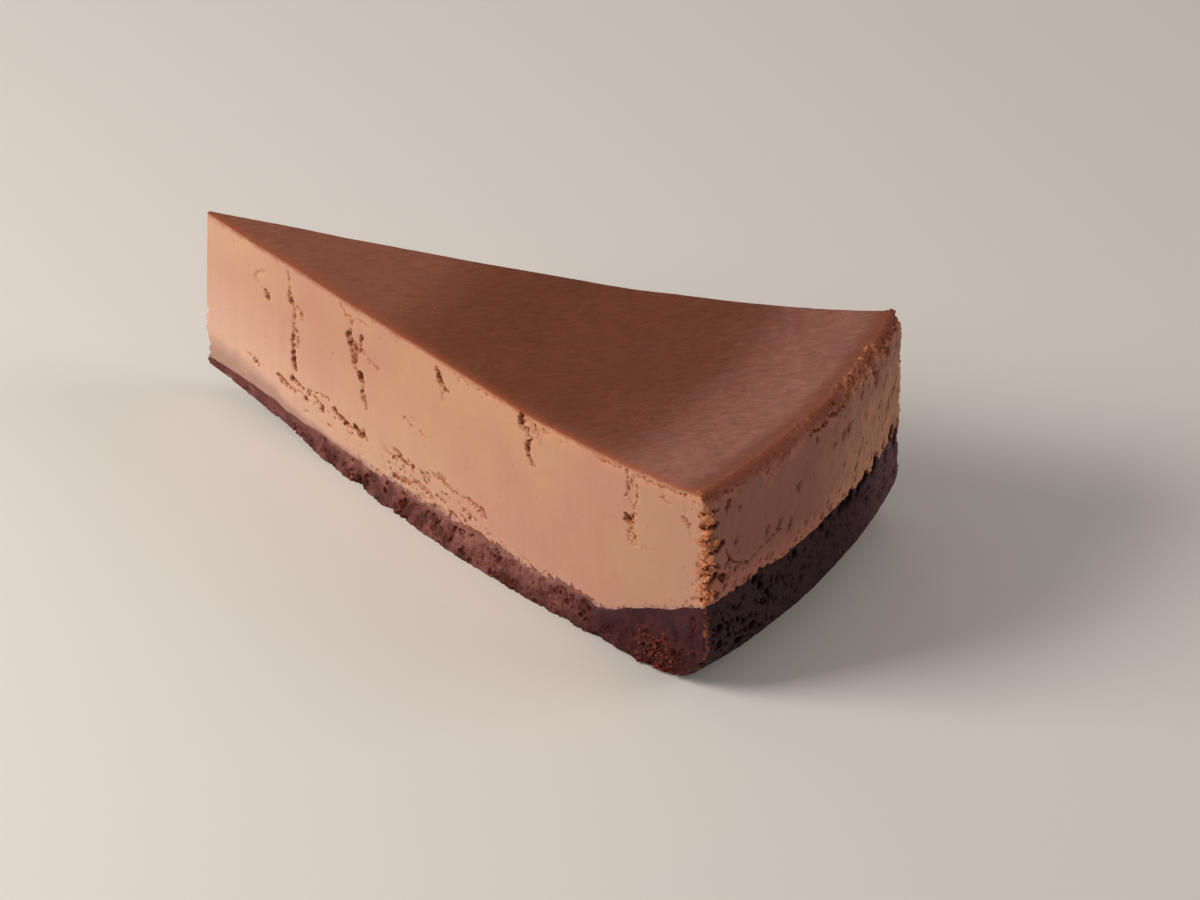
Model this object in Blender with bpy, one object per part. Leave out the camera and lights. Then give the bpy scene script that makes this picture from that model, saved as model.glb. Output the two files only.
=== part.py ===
"""A slice of baked chocolate cheesecake, cut from a round cake and standing on its crust.

The food is two closed solids: the dark crumb crust, and the chocolate filling that lies on it. Every point of
the slice has three coordinates. u runs from the tip (0) to the rim (1), v from the near cut (-1) to the far
cut (+1), and w from the bottom of a layer (0) to its top (1). The cake's middle is the corner of the wedge,
+X points from it to the middle of the rim, and the origin lies on the base, halfway along the slice.
"""

import math
from collections import namedtuple

import bpy
from mathutils import Vector, noise

# Driving sizes, in metres
MM = 0.001
CAKE_RADIUS = 120 * MM
SLICE_ANGLE = math.radians(28.85)
TIP_RADIUS = 1.2 * MM
TIP_LEAN = 2.2 * MM
RIM_HEIGHT = 39.9 * MM
MIDDLE_HEIGHT = 34.5 * MM
LAYER_GAP = 0.3 * MM

# The sunken top climbs to the rim from this share of the radius, a little sooner along the far cut
TOP_RISE_FROM, FAR_RISE_SOONER = 0.62, 0.12
TOP_RISE_POWER, FAR_RISE_STEEPER = 1.8, 0.3
TIP_TOP_LIFT = 0.5 * MM

# The crust: thin under the filling, and climbing the wall of the tin
CRUST_MIDDLE = 3.7 * MM
CRUST_TIP_EXTRA = 1.9 * MM
CRUST_OUTER_EXTRA = 1.9 * MM
CRUST_RIM_NEAR = 19.0 * MM
CRUST_RIM_FAR = 17.3 * MM
CRUST_CLIMB_FROM = 0.81
CRUST_LINE_WAVE = 0.7 * MM

# The underside: flat in the middle, crumbled up at the tip and a little at the rim
TIP_UNDER_LIFT = 4.2 * MM
TIP_UNDER_REACH = 0.33
RIM_UNDER_LIFT = 0.4 * MM
RIM_UNDER_FROM = 0.80
RIM_UNDER_TO = 0.97

# The rim: a wall that stands out past its rounded lip, leans out to the base and ends in a round foot
RIM_SWELL = 2.0 * MM
RIM_LEAN = 0.5 * MM
RIM_FOOT_NEAR = 11.0 * MM
RIM_FOOT_FAR = 8.8 * MM
RIM_LIP_RADIUS = 1.8 * MM

# The crust's foot stands out from each cut
NEAR_FOOT_BULGE = 3.0 * MM
FAR_FOOT_BULGE = 1.5 * MM
BULGE_FROM = 0.18
BULGE_REACH = 0.80

# Unevenness of each surface: how far it goes in and out, and the size of its bumps
CUT_WAVE, CUT_WAVE_SIZE = 0.22 * MM, 14 * MM
CUT_GRAIN, CUT_GRAIN_SIZE = 0.16 * MM, 3.2 * MM
CRUST_CRAG, CRUST_CRAG_SIZE = 0.75 * MM, 3.6 * MM
RIM_CRAG, RIM_CRAG_SIZE = 0.30 * MM, 4.5 * MM
LIP_CRAG, LIP_CRAG_SIZE, LIP_DEPTH = 0.8 * MM, 3.0 * MM, 4.5 * MM
CORNER_CRUMBLE, CORNER_CRUMBLE_SIZE, CORNER_REACH = 1.7 * MM, 3.0 * MM, 3.2 * MM
TIP_CRUMBLE, TIP_CRUMBLE_SIZE, TIP_CRUMBLE_REACH = 1.3 * MM, 2.6 * MM, 4.0 * MM
TIP_CRUMBLE_BELOW = 18 * MM
TOP_WAVE, TOP_WAVE_SIZE = 0.14 * MM, 11 * MM
SKIN_HOLDS = 1.4 * MM

# Mesh divisions
STEPS_ALONG = 80
FILLING_ROWS = 18
CRUST_ROWS = 8
RIM_STEPS = 26
TOP_CELL = 4.0 * MM
TIP_STEPS = 2
HIDDEN_STEPS = 2

# A tear is a ragged crack in a cut, where the filling stuck to the knife. Its points are millimetres along the cut
# from the tip and millimetres above the base.
Tear = namedtuple("Tear", "points half_width depth")

NEAR_TEARS = (
    Tear(((14, 29), (16.5, 28.2), (17, 25.5)), 1.1, 0.9),
    Tear(((22.1, 33.2), (22.6, 28), (23.7, 24.8), (23, 14.5)), 1.5, 1.6),
    Tear(((37, 27.5), (37.8, 23), (40, 19.4), (40.8, 15)), 1.8, 2.4),
    Tear(((38, 27.2), (41.3, 28), (43.7, 26.4)), 1.4, 1.2),
    Tear(((32.5, 11.5), (35, 10.4), (39.8, 8.6)), 1.6, 2.2),
    Tear(((59.2, 32.4), (59.9, 30.2), (61.3, 28)), 1.5, 1.2),
    Tear(((79.4, 33.8), (81.5, 30.8), (82.2, 26.3)), 1.5, 1.7),
    Tear(((104.8, 34.2), (105.3, 30.6)), 1.3, 1.0),
    Tear(((104.9, 26.5), (106.2, 23.3), (107.6, 22.2)), 1.6, 1.8),
    Tear(((19, 10.2), (23, 9.3), (27, 10), (33, 12.4)), 1.2, 0.9),
    Tear(((46, 9.2), (52, 9.8), (58, 10.6), (64, 11.2)), 1.5, 1.1),
    Tear(((50, 7.6), (57, 8.4), (66, 9.6), (72, 10.4)), 1.5, 1.0),
)
FAR_TEARS = (
    Tear(((28, 31.5), (28.8, 25), (27.9, 18)), 1.5, 1.5),
    Tear(((51, 33.4), (52.6, 28), (51.8, 23.5)), 1.6, 1.9),
    Tear(((68, 12.5), (75, 11.6), (83, 12.4)), 1.5, 1.2),
    Tear(((90, 34.5), (91.2, 29.4)), 1.4, 1.3),
    Tear(((39, 11), (46, 10.2)), 1.4, 1.1),
)

# Colour, roughness and metallic of each layer
FINISH = {
    "crust": ((0.075, 0.028, 0.018, 1), 0.85, 0.0),
    "filling": ((0.42, 0.20, 0.115, 1), 0.6, 0.0),
}

HALF_ANGLE = SLICE_ANGLE / 2


def clamp(value, low=0.0, high=1.0):
    return min(max(value, low), high)


def smooth(value):
    t = clamp(value)
    return t * t * (3 - 2 * t)


def bumps(point, size, seed):
    """Soft noise from -1 to 1 at a point, with bumps of the given size."""
    return noise.noise(Vector(point) / size + Vector((seed * 17.3, seed * 5.9, seed * 11.1)))


def share(radius):
    return radius / CAKE_RADIUS


def radius_at(u):
    return TIP_RADIUS + u * (CAKE_RADIUS - TIP_RADIUS)


def top_height(radius, v):
    """Height of the baked top: a shallow dish that rises to the rim."""
    far = (v + 1) / 2
    start = TOP_RISE_FROM - FAR_RISE_SOONER * far
    climb = clamp((share(radius) - start) / (1 - start))
    height = MIDDLE_HEIGHT
    height += (RIM_HEIGHT - MIDDLE_HEIGHT) * climb ** (TOP_RISE_POWER + FAR_RISE_STEEPER * far)
    height += TIP_TOP_LIFT * clamp(1 - share(radius) / 0.3)
    spot = (radius, v * radius * HALF_ANGLE, 0)
    return height + TOP_WAVE * bumps(spot, TOP_WAVE_SIZE, 1)


def crust_height(radius, v):
    """Height of the line where the filling lies on the crust."""
    part = share(radius)
    height = CRUST_MIDDLE + CRUST_TIP_EXTRA * clamp(1 - part / 0.26) ** 0.6
    height += CRUST_OUTER_EXTRA * smooth((part - 0.55) / 0.30)
    rim = CRUST_RIM_NEAR + (CRUST_RIM_FAR - CRUST_RIM_NEAR) * (v + 1) / 2
    climb = clamp((part - CRUST_CLIMB_FROM) / (1 - CRUST_CLIMB_FROM))
    height += (rim - CRUST_MIDDLE - CRUST_OUTER_EXTRA) * climb
    spot = (radius, v * radius * HALF_ANGLE, 0)
    steady = smooth(part / 0.2)
    return height + CRUST_LINE_WAVE * steady * bumps(spot, 7 * MM, 2)


def under_height(radius):
    part = share(radius)
    tip = TIP_UNDER_LIFT * clamp(1 - part / TIP_UNDER_REACH) ** 1.6
    return tip + RIM_UNDER_LIFT * smooth((part - RIM_UNDER_FROM) / (RIM_UNDER_TO - RIM_UNDER_FROM))


def round_edge(depth, radius):
    """How far a rounded edge has drawn in, this deep into its rounding."""
    d = clamp(depth, 0, radius)
    return radius - math.sqrt(radius * radius - d * d)


def crust_share(radius, v, z):
    """1 well inside the crust, 0 in the filling, so that both layers agree on the line between them."""
    return smooth((crust_height(radius, v) - z) / (2 * MM))


def corner_crumble(along, v, z):
    """Crumbs lost from the upright edge between a cut and the rim."""
    reach = clamp(1 - (CAKE_RADIUS - along) / CORNER_REACH)
    side = 1.0 if v < 0 else 0.4
    rough = 0.5 + bumps((along, v, z), CORNER_CRUMBLE_SIZE, 3)
    return CORNER_CRUMBLE * side * reach * clamp(rough)


def tip_crumble(along, z):
    """Crumbs lost from the lower part of the tip."""
    reach = clamp(1 - along / TIP_CRUMBLE_REACH)
    low = smooth((TIP_CRUMBLE_BELOW - z) / (5 * MM))
    rough = 0.4 + bumps((along, 0, z), TIP_CRUMBLE_SIZE, 4)
    return TIP_CRUMBLE * reach * low * clamp(rough)


def distance_to_path(point, path):
    """Shortest distance from a point to a chain of straight pieces."""
    best = math.inf
    for (ax, az), (bx, bz) in zip(path, path[1:]):
        length2 = (bx - ax) ** 2 + (bz - az) ** 2
        t = clamp(((point[0] - ax) * (bx - ax) + (point[1] - az) * (bz - az)) / length2)
        best = min(best, math.hypot(point[0] - ax - t * (bx - ax), point[1] - az - t * (bz - az)))
    return best


def tear_depth(tears, along, z):
    """Depth of the deepest tear at this place on a cut."""
    ragged = 1 + 0.5 * bumps((along, 0, z), 2.5 * MM, 5)
    deepest = 0.0
    for tear in tears:
        away = distance_to_path((along / MM, z / MM), tear.points)
        deepest = max(deepest, tear.depth * smooth(1.3 - away / (tear.half_width * ragged)))
    return deepest * MM


def cut_relief(radius, v, z):
    """How far a cut face stands in from the flat plane of the knife."""
    side = 6 if v < 0 else 7
    spot = (radius, side, z)
    relief = CUT_WAVE * bumps(spot, CUT_WAVE_SIZE, side) + CUT_GRAIN * bumps(spot, CUT_GRAIN_SIZE, side)
    below_skin = smooth((top_height(radius, v) - z) / SKIN_HOLDS)
    relief += below_skin * tear_depth(NEAR_TEARS if v < 0 else FAR_TEARS, radius, z)
    crag = 0.3 + bumps(spot, CRUST_CRAG_SIZE, side + 4)
    relief += CRUST_CRAG * crag * crust_share(radius, v, z)
    relief += corner_crumble(radius, v, z)
    return relief * smooth(radius / (6 * MM))


def foot_bulge(radius, v, z):
    """The crust's foot spreads a little past the cut."""
    amount = NEAR_FOOT_BULGE if v < 0 else FAR_FOOT_BULGE
    along = math.sin(math.pi * clamp((share(radius) - BULGE_FROM) / BULGE_REACH)) ** 0.8
    low = clamp(1 - z / crust_height(radius, v))
    return amount * along * low**0.8


def rim_radius(v, z):
    """Radius of the outer wall at a height."""
    top = top_height(CAKE_RADIUS, v)
    foot = RIM_FOOT_NEAR + (RIM_FOOT_FAR - RIM_FOOT_NEAR) * (v + 1) / 2
    radius = CAKE_RADIUS + RIM_SWELL + RIM_LEAN * (1 - z / RIM_HEIGHT)
    radius -= round_edge(foot + RIM_UNDER_LIFT - z, foot)
    radius -= round_edge(z - (top - RIM_LIP_RADIUS), RIM_LIP_RADIUS)
    spot = (0, v * CAKE_RADIUS * HALF_ANGLE, z)
    radius -= RIM_CRAG * bumps(spot, RIM_CRAG_SIZE, 12)
    in_lip = smooth((z - top + LIP_DEPTH) / (2 * MM)) * smooth((top - z) / (0.8 * MM))
    radius -= LIP_CRAG * in_lip * clamp(0.3 + bumps(spot, LIP_CRAG_SIZE, 13))
    edge = CAKE_RADIUS - (1 - abs(v)) * CAKE_RADIUS * HALF_ANGLE
    return radius - corner_crumble(edge, v, z)


def place(u, v, z):
    """World position of a point of the food."""
    radius = radius_at(u)
    reach = TIP_RADIUS + u * (rim_radius(v, z) - TIP_RADIUS) + (1 - u) ** 12 * tip_crumble(0, z)
    angle = v * HALF_ANGLE
    side = -1 if v < 0 else 1
    out = v * (foot_bulge(radius, side, z) - cut_relief(radius, side, z))
    lean = TIP_LEAN * (1 - u) ** 10 * clamp(1 - z / MIDDLE_HEIGHT)
    x = reach * math.cos(angle) - lean - out * v * math.sin(HALF_ANGLE)
    y = reach * math.sin(angle) + out * math.cos(HALF_ANGLE)
    return (x - CAKE_RADIUS / 2, y, z)


class Layer:
    """The mesh of one layer between two height functions of radius and v."""

    def __init__(self, bottom, top, rows):
        self.bottom = bottom
        self.top = top
        self.rows = rows
        self.points = []
        self.faces = []
        self.known = {}

    def vertex(self, u, v, w):
        key = (round(u, 6), round(v, 6), round(w, 6))
        if key not in self.known:
            radius = radius_at(u)
            low = self.bottom(radius, v)
            self.known[key] = len(self.points)
            self.points.append(place(u, v, low + w * (self.top(radius, v) - low)))
        return self.known[key]

    def stitch(self, low, high):
        """Triangles between two rows of (share along the row, vertex), whatever their counts."""
        i = j = 0
        while i < len(low) - 1 or j < len(high) - 1:
            next_low = low[i + 1][0] if i < len(low) - 1 else math.inf
            next_high = high[j + 1][0] if j < len(high) - 1 else math.inf
            if next_low <= next_high:
                self.faces.append((low[i][1], low[i + 1][1], high[j][1]))
                i += 1
            else:
                self.faces.append((low[i][1], high[j + 1][1], high[j][1]))
                j += 1

    def sheet(self, rows):
        for low, high in zip(rows, rows[1:]):
            self.stitch(low, high)

    def along(self, v, w):
        return [(i / STEPS_ALONG, self.vertex(i / STEPS_ALONG, v, w)) for i in range(STEPS_ALONG + 1)]

    def across(self, u, w, steps):
        return [(k / steps, self.vertex(u, 2 * k / steps - 1, w)) for k in range(steps + 1)]

    def shell(self, bottom_steps, top_steps):
        """The six sides of the layer, each facing out."""
        heights = [k / self.rows for k in range(self.rows + 1)]
        stations = [i / STEPS_ALONG for i in range(STEPS_ALONG + 1)]
        self.sheet([self.along(-1, w) for w in heights])
        self.sheet([self.along(1, w) for w in reversed(heights)])
        self.sheet([self.across(1, w, RIM_STEPS) for w in heights])
        self.sheet([self.across(0, w, TIP_STEPS) for w in reversed(heights)])
        self.sheet([self.across(u, 1, top_steps(u)) for u in reversed(stations)])
        self.sheet([self.across(u, 0, bottom_steps(u)) for u in stations])


def open_steps(u):
    """Divisions across a visible top, in cells of even size."""
    if u == 1:
        return RIM_STEPS
    return max(TIP_STEPS, round(radius_at(u) * SLICE_ANGLE / TOP_CELL))


def hidden_steps(u):
    """Divisions across a face that is out of sight: few, and more near the rim."""
    if u == 1:
        return RIM_STEPS
    return HIDDEN_STEPS + round((RIM_STEPS / 2 - HIDDEN_STEPS) * smooth((u - 0.8) / 0.2))


def material(name):
    colour, roughness, metallic = FINISH[name]
    made = bpy.data.materials.new(name)
    made.use_nodes = True
    shader = made.node_tree.nodes["Principled BSDF"]
    shader.inputs["Base Color"].default_value = colour
    shader.inputs["Roughness"].default_value = roughness
    shader.inputs["Metallic"].default_value = metallic
    made.diffuse_color = colour
    return made


def add_layer(name, layer):
    mesh = bpy.data.meshes.new(name)
    mesh.from_pydata(layer.points, [], layer.faces)
    mesh.materials.append(material(name))
    mesh.shade_smooth()
    mesh.set_sharp_from_angle(angle=math.radians(40))
    bpy.context.collection.objects.link(bpy.data.objects.new(name, mesh))


def make_crust():
    layer = Layer(
        lambda radius, v: under_height(radius),
        lambda radius, v: crust_height(radius, v) - LAYER_GAP / 2,
        CRUST_ROWS,
    )
    layer.shell(hidden_steps, hidden_steps)
    add_layer("crust", layer)


def make_filling():
    layer = Layer(
        lambda radius, v: crust_height(radius, v) + LAYER_GAP / 2,
        top_height,
        FILLING_ROWS,
    )
    layer.shell(hidden_steps, open_steps)
    add_layer("filling", layer)


def main():
    for old in list(bpy.data.objects):
        bpy.data.objects.remove(old)
    make_crust()
    make_filling()


main()
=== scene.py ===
"""The looks of a slice of baked chocolate cheesecake.

The two CAD layers, crust and filling, are each replaced by a fine closed mesh of the same form, with the
tears, pits, pores and crumbled edges that a knife and a tin leave, and Geometry Nodes strew loose crumbs on
them. Every point of the slice has three coordinates. u runs from the tip (0) to the rim (1), v from the near
cut (-1) to the far cut (+1), and w from the bottom of a layer (0) to its top (1).
"""

import math
from collections import namedtuple

import bpy
import numpy as np
from bpy.props import FloatProperty, FloatVectorProperty, IntProperty, PointerProperty
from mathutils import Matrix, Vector


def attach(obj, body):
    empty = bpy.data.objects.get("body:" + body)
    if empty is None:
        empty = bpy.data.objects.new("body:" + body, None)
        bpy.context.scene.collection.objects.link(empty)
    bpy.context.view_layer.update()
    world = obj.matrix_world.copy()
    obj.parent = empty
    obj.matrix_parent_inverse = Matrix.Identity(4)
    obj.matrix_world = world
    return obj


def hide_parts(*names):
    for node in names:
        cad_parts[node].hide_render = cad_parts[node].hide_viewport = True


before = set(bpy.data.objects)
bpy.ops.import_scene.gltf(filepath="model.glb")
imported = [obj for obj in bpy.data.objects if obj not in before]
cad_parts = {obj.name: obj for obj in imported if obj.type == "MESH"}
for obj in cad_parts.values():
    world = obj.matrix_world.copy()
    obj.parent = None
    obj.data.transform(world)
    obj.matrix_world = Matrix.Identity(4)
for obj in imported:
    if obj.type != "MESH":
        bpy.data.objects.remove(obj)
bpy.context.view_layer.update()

bl_info = {
    "name": "Chocolate Cheesecake Slice",
    "version": (1, 0, 0),
    "blender": (4, 5, 0),
    "location": "3D Viewport > Sidebar > Cheesecake",
    "description": "Makes a slice of baked chocolate cheesecake round its packed solids",
    "category": "Add Mesh",
}

MM = 0.001

# The wedge, in metres, as the solids have it
CAKE_RADIUS = 120 * MM
SLICE_ANGLE = math.radians(28.85)
HALF_ANGLE = SLICE_ANGLE / 2
TIP_RADIUS = 1.2 * MM
TIP_LEAN = 2.2 * MM
RIM_HEIGHT = 39.9 * MM
MIDDLE_HEIGHT = 34.5 * MM

# The sunken top climbs to the rim from this share of the radius, a little sooner along the far cut
TOP_RISE_FROM, FAR_RISE_SOONER = 0.62, 0.12
TOP_RISE_POWER, FAR_RISE_STEEPER = 1.8, 0.3
TIP_TOP_LIFT = 0.5 * MM

# The crust: thin under the filling, and climbing the wall of the tin
CRUST_MIDDLE = 3.7 * MM
CRUST_TIP_EXTRA = 1.9 * MM
CRUST_OUTER_EXTRA = 1.9 * MM
CRUST_RIM_NEAR = 19.0 * MM
CRUST_RIM_FAR = 17.3 * MM
CRUST_RIM_ARCH = 0.7 * MM
CRUST_CLIMB_FROM = 0.81
CRUST_LINE_WAVE = 0.7 * MM
LAYER_LAP = 0.12 * MM

# The underside: flat in the middle, crumbled up at the tip and a little at the rim
TIP_UNDER_LIFT = 4.2 * MM
TIP_UNDER_REACH = 0.33
RIM_UNDER_LIFT = 0.4 * MM
RIM_UNDER_FROM, RIM_UNDER_TO = 0.80, 0.97

# The rim: a wall that stands out past its rounded lip, leans out to the base and ends in a round foot
RIM_SWELL = 2.0 * MM
RIM_LEAN = 0.5 * MM
RIM_FOOT_NEAR = 11.0 * MM
RIM_FOOT_FAR = 8.8 * MM
RIM_LIP_RADIUS = 1.8 * MM

# The crust's foot stands out from each cut
NEAR_FOOT_BULGE = 3.0 * MM
FAR_FOOT_BULGE = 1.5 * MM
BULGE_FROM, BULGE_REACH = 0.18, 0.80

# Unevenness of each surface: how far it goes in and out, and the size of its bumps
CUT_WAVE, CUT_WAVE_SIZE = 0.20 * MM, 14 * MM
CUT_GRAIN, CUT_GRAIN_SIZE = 0.04 * MM, 2.6 * MM
CRUST_CRAG, CRUST_CRAG_SIZE = 0.36 * MM, 3.2 * MM
CRUST_GRAIN, CRUST_GRAIN_SIZE = 0.17 * MM, 1.2 * MM
CRUST_PORE, CRUST_CAVITY = 0.45 * MM, 1.10 * MM
CRUMB_HEAP = 0.70 * MM
SMEAR_DEPTH, SMEAR_TIP_EXTRA, SMEAR_CORNER_EXTRA, SMEAR_CORNER_FROM = 0.5 * MM, 3.6 * MM, 7.3 * MM, 92 * MM
RIM_CRAG, RIM_CRAG_SIZE = 0.22 * MM, 6.0 * MM
LIP_CRAG, LIP_CRAG_SIZE, LIP_DEPTH = 0.6 * MM, 2.2 * MM, 4.6 * MM
CORNER_CRUMBLE, CORNER_CRUMBLE_SIZE, CORNER_REACH = 1.05 * MM, 2.6 * MM, 2.2 * MM
CORNER_WIDEST = 1.35 * CORNER_REACH
CORNER_LUMP, LIP_LUMP, HEAP_LUMP = 1.7 * MM, 1.5 * MM, 1.5 * MM
TIP_CRUMBLE, TIP_CRUMBLE_SIZE, TIP_CRUMBLE_BELOW = 1.3 * MM, 2.2 * MM, 18 * MM
TOP_WAVE, TOP_WAVE_SIZE = 0.14 * MM, 11 * MM
TOP_GRAIN, TOP_GRAIN_SIZE = 0.025 * MM, 1.3 * MM
RIM_LUMP = 0.42 * MM

# Tears fade out this close under the skin, which held
SKIN_HOLDS = 1.2 * MM

# A tear is a ragged crack in a cut, where the filling stuck to the knife. Its points are millimetres along
# the cut from the tip and millimetres above the base. Its half width is in millimetres too, and its depth is
# counted in TEAR_UNITs. TEAR_MARGIN is how many millimetres past its points it may still be felt.
TEAR_UNIT = 0.62 * MM
TEAR_MARGIN = 2.2
Tear = namedtuple("Tear", "points half_width depth")

NEAR_TEARS = (
    Tear(((15.3, 29.9), (14.1, 28.9), (13.7, 27.6)), 0.36, 0.45),
    Tear(((13.8, 27.4), (15.6, 26.5)), 0.22, 0.3),
    Tear(((16.4, 26.2), (16.8, 25.2)), 0.42, 1.3),
    Tear(((22.2, 33.2), (22.2, 29.6)), 0.24, 0.5),
    Tear(((22.2, 29.2), (22.5, 27.3)), 0.55, 1.5),
    Tear(((22.8, 27.2), (24.9, 26.6), (25.5, 25.0)), 0.24, 0.7),
    Tear(((23.2, 26.4), (23.4, 22.4)), 0.34, 0.7),
    Tear(((23.4, 21.8), (22.8, 20.2), (22.6, 18.4), (23.1, 17.4)), 0.36, 1.0),
    Tear(((24.0, 21.0), (24.2, 18.6)), 0.28, 0.8),
    Tear(((22.9, 16.8), (23.0, 14.6)), 0.70, 1.5),
    Tear(((37.4, 28.6), (37.7, 27.0), (38.6, 25.6)), 0.72, 1.5),
    Tear(((38.2, 26.9), (40.0, 27.0)), 0.40, 0.6),
    Tear(((40.4, 29.1), (40.2, 26.2)), 0.28, 1.2),
    Tear(((38.4, 24.8), (38.0, 22.8)), 0.82, 1.3),
    Tear(((38.2, 22.4), (39.6, 21.2)), 0.34, 1.4),
    Tear(((39.7, 21.3), (40.2, 20.2)), 0.60, 2.8),
    Tear(((40.2, 19.6), (40.3, 18.4)), 0.26, 0.8),
    Tear(((40.3, 18.0), (40.6, 16.6)), 0.70, 1.2),
    Tear(((40.8, 16.2), (41.2, 15.2)), 0.30, 0.8),
    Tear(((41.0, 26.2), (42.3, 25.1)), 0.48, 0.5),
    Tear(((43.4, 25.1), (44.2, 24.6)), 0.45, 0.7),
    Tear(((35.6, 33.2), (36.6, 31.6), (38.2, 31.4), (38.0, 30.4)), 0.26, 0.5),
    Tear(((40.0, 32.3), (42.4, 32.0)), 0.30, 0.5),
    Tear(((32.6, 10.6), (35.3, 9.7)), 0.46, 1.7),
    Tear(((35.8, 9.6), (37.9, 9.3)), 0.50, 1.9),
    Tear(((38.5, 9.7), (39.5, 9.2)), 0.80, 2.4),
    Tear(((40.2, 10.4), (41.4, 8.6)), 0.38, 1.0),
    Tear(((59.4, 32.2), (59.9, 29.4)), 0.60, 1.6),
    Tear(((60.4, 29.8), (60.9, 28.8)), 0.40, 1.3),
    Tear(((61.6, 29.1), (61.9, 28.6)), 0.42, 1.5),
    Tear(((60.2, 28.6), (60.7, 26.8)), 0.22, 0.4),
    Tear(((79.6, 34.6), (79.5, 32.4), (79.9, 31.4)), 0.58, 1.9),
    Tear(((80.8, 31.8), (81.0, 30.6)), 0.30, 1.2),
    Tear(((81.0, 30.5), (82.2, 30.2), (81.2, 29.0)), 0.34, 1.6),
    Tear(((80.9, 28.7), (81.0, 27.0), (81.5, 26.0)), 0.42, 1.7),
    Tear(((81.6, 25.8), (82.4, 25.3)), 0.38, 0.9),
    Tear(((81.2, 33.8), (83.0, 32.8)), 1.05, 0.40),
    Tear(((82.6, 31.8), (83.8, 30.6)), 0.90, 0.38),
    Tear(((82.3, 33.2), (82.8, 32.6)), 0.30, 1.0),
    Tear(((84.2, 33.6), (85.2, 33.0)), 0.30, 0.6),
    Tear(((96.4, 34.8), (98.2, 34.3), (99.7, 34.8), (102.6, 35.4)), 0.19, 0.9),
    Tear(((104.1, 36.6), (104.3, 33.8)), 0.20, 0.7),
    Tear(((106.4, 36.2), (107.7, 35.9), (110.7, 36.5)), 0.19, 0.9),
    Tear(((111.2, 36.4), (113.3, 37.2), (115.6, 37.4), (117.6, 37.9)), 0.24, 1.2),
    Tear(((105.5, 34.4), (104.6, 33.3), (103.9, 30.3)), 0.30, 0.7),
    Tear(((105.7, 34.4), (106.3, 34.0), (106.6, 31.7), (105.7, 29.4)), 0.28, 0.6),
    Tear(((105.3, 33.0), (105.4, 30.4)), 0.85, 0.28),
    Tear(((104.1, 26.0), (104.9, 26.5)), 0.80, 2.1),
    Tear(((105.0, 26.8), (105.9, 28.0)), 0.46, 1.5),
    Tear(((104.9, 25.2), (105.6, 22.8)), 0.98, 0.45),
    Tear(((105.0, 24.8), (105.3, 24.2)), 0.30, 1.1),
    Tear(((105.8, 23.6), (106.2, 22.8)), 0.28, 0.9),
    Tear(((106.2, 22.2), (107.2, 22.0), (109.2, 23.0)), 0.30, 0.3),
    Tear(((11.2, 11.2), (12.6, 10.6), (13.9, 9.9)), 0.44, 0.9),
    Tear(((19.1, 10.2), (21.2, 9.8)), 0.58, 1.3),
    Tear(((21.4, 9.7), (22.9, 9.3)), 0.46, 1.1),
    Tear(((22.6, 11.7), (25.1, 11.1)), 0.48, 1.4),
    Tear(((25.7, 9.5), (26.1, 9.3)), 0.40, 1.6),
    Tear(((26.7, 11.5), (28.4, 11.9), (31.8, 12.3)), 0.26, 0.8),
    Tear(((26.8, 10.8), (28.6, 10.6), (29.8, 9.9), (30.2, 8.7)), 0.42, 1.0),
    Tear(((48.2, 10.6), (49.4, 10.2)), 0.35, 0.8),
    Tear(((48.0, 8.7), (49.4, 9.2), (50.9, 9.0), (52.3, 9.0)), 0.40, 1.1),
    Tear(((52.3, 9.1), (52.7, 8.9)), 0.50, 1.8),
    Tear(((54.6, 9.3), (55.6, 9.0)), 0.42, 1.2),
    Tear(((58.1, 10.4), (60.8, 9.8), (63.5, 9.4)), 0.42, 1.1),
    Tear(((59.0, 11.3), (60.6, 11.0)), 0.26, 0.7),
    Tear(((53.3, 6.4), (55.0, 6.0), (56.8, 5.6)), 0.62, 0.8),
    Tear(((47.9, 4.8), (49.6, 5.0), (51.5, 5.3)), 0.50, 1.2),
    Tear(((58.6, 6.4), (60.2, 6.0)), 0.36, 0.9),
    Tear(((65.2, 9.8), (66.6, 9.5)), 0.38, 0.9),
    Tear(((66.8, 10.2), (68.4, 9.5), (70.2, 9.3)), 0.55, 1.2),
    Tear(((65.2, 7.2), (67.9, 6.6)), 0.40, 0.9),
    Tear(((69.0, 8.4), (70.6, 8.4)), 0.30, 0.8),
    Tear(((57.9, 4.2), (60.4, 4.4)), 0.36, 0.9),
    Tear(((62.0, 4.8), (63.6, 4.9)), 0.42, 1.0),
    Tear(((51.0, 18.0), (52.6, 17.4)), 0.38, 0.5),
    Tear(((52.4, 19.4), (53.4, 18.9)), 0.28, 0.4),
    Tear(((54.6, 17.4), (55.8, 17.0)), 0.28, 0.4),
    Tear(((62.6, 33.6), (64.6, 33.4), (67.3, 33.2)), 0.20, 0.5),
    Tear(((68.4, 33.2), (71.6, 33.6)), 0.22, 0.6),
    Tear(((112.0, 34.6), (113.8, 34.2)), 0.34, 0.6),
    Tear(((116.6, 33.2), (118.4, 32.6)), 0.38, 0.9),
)
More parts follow.
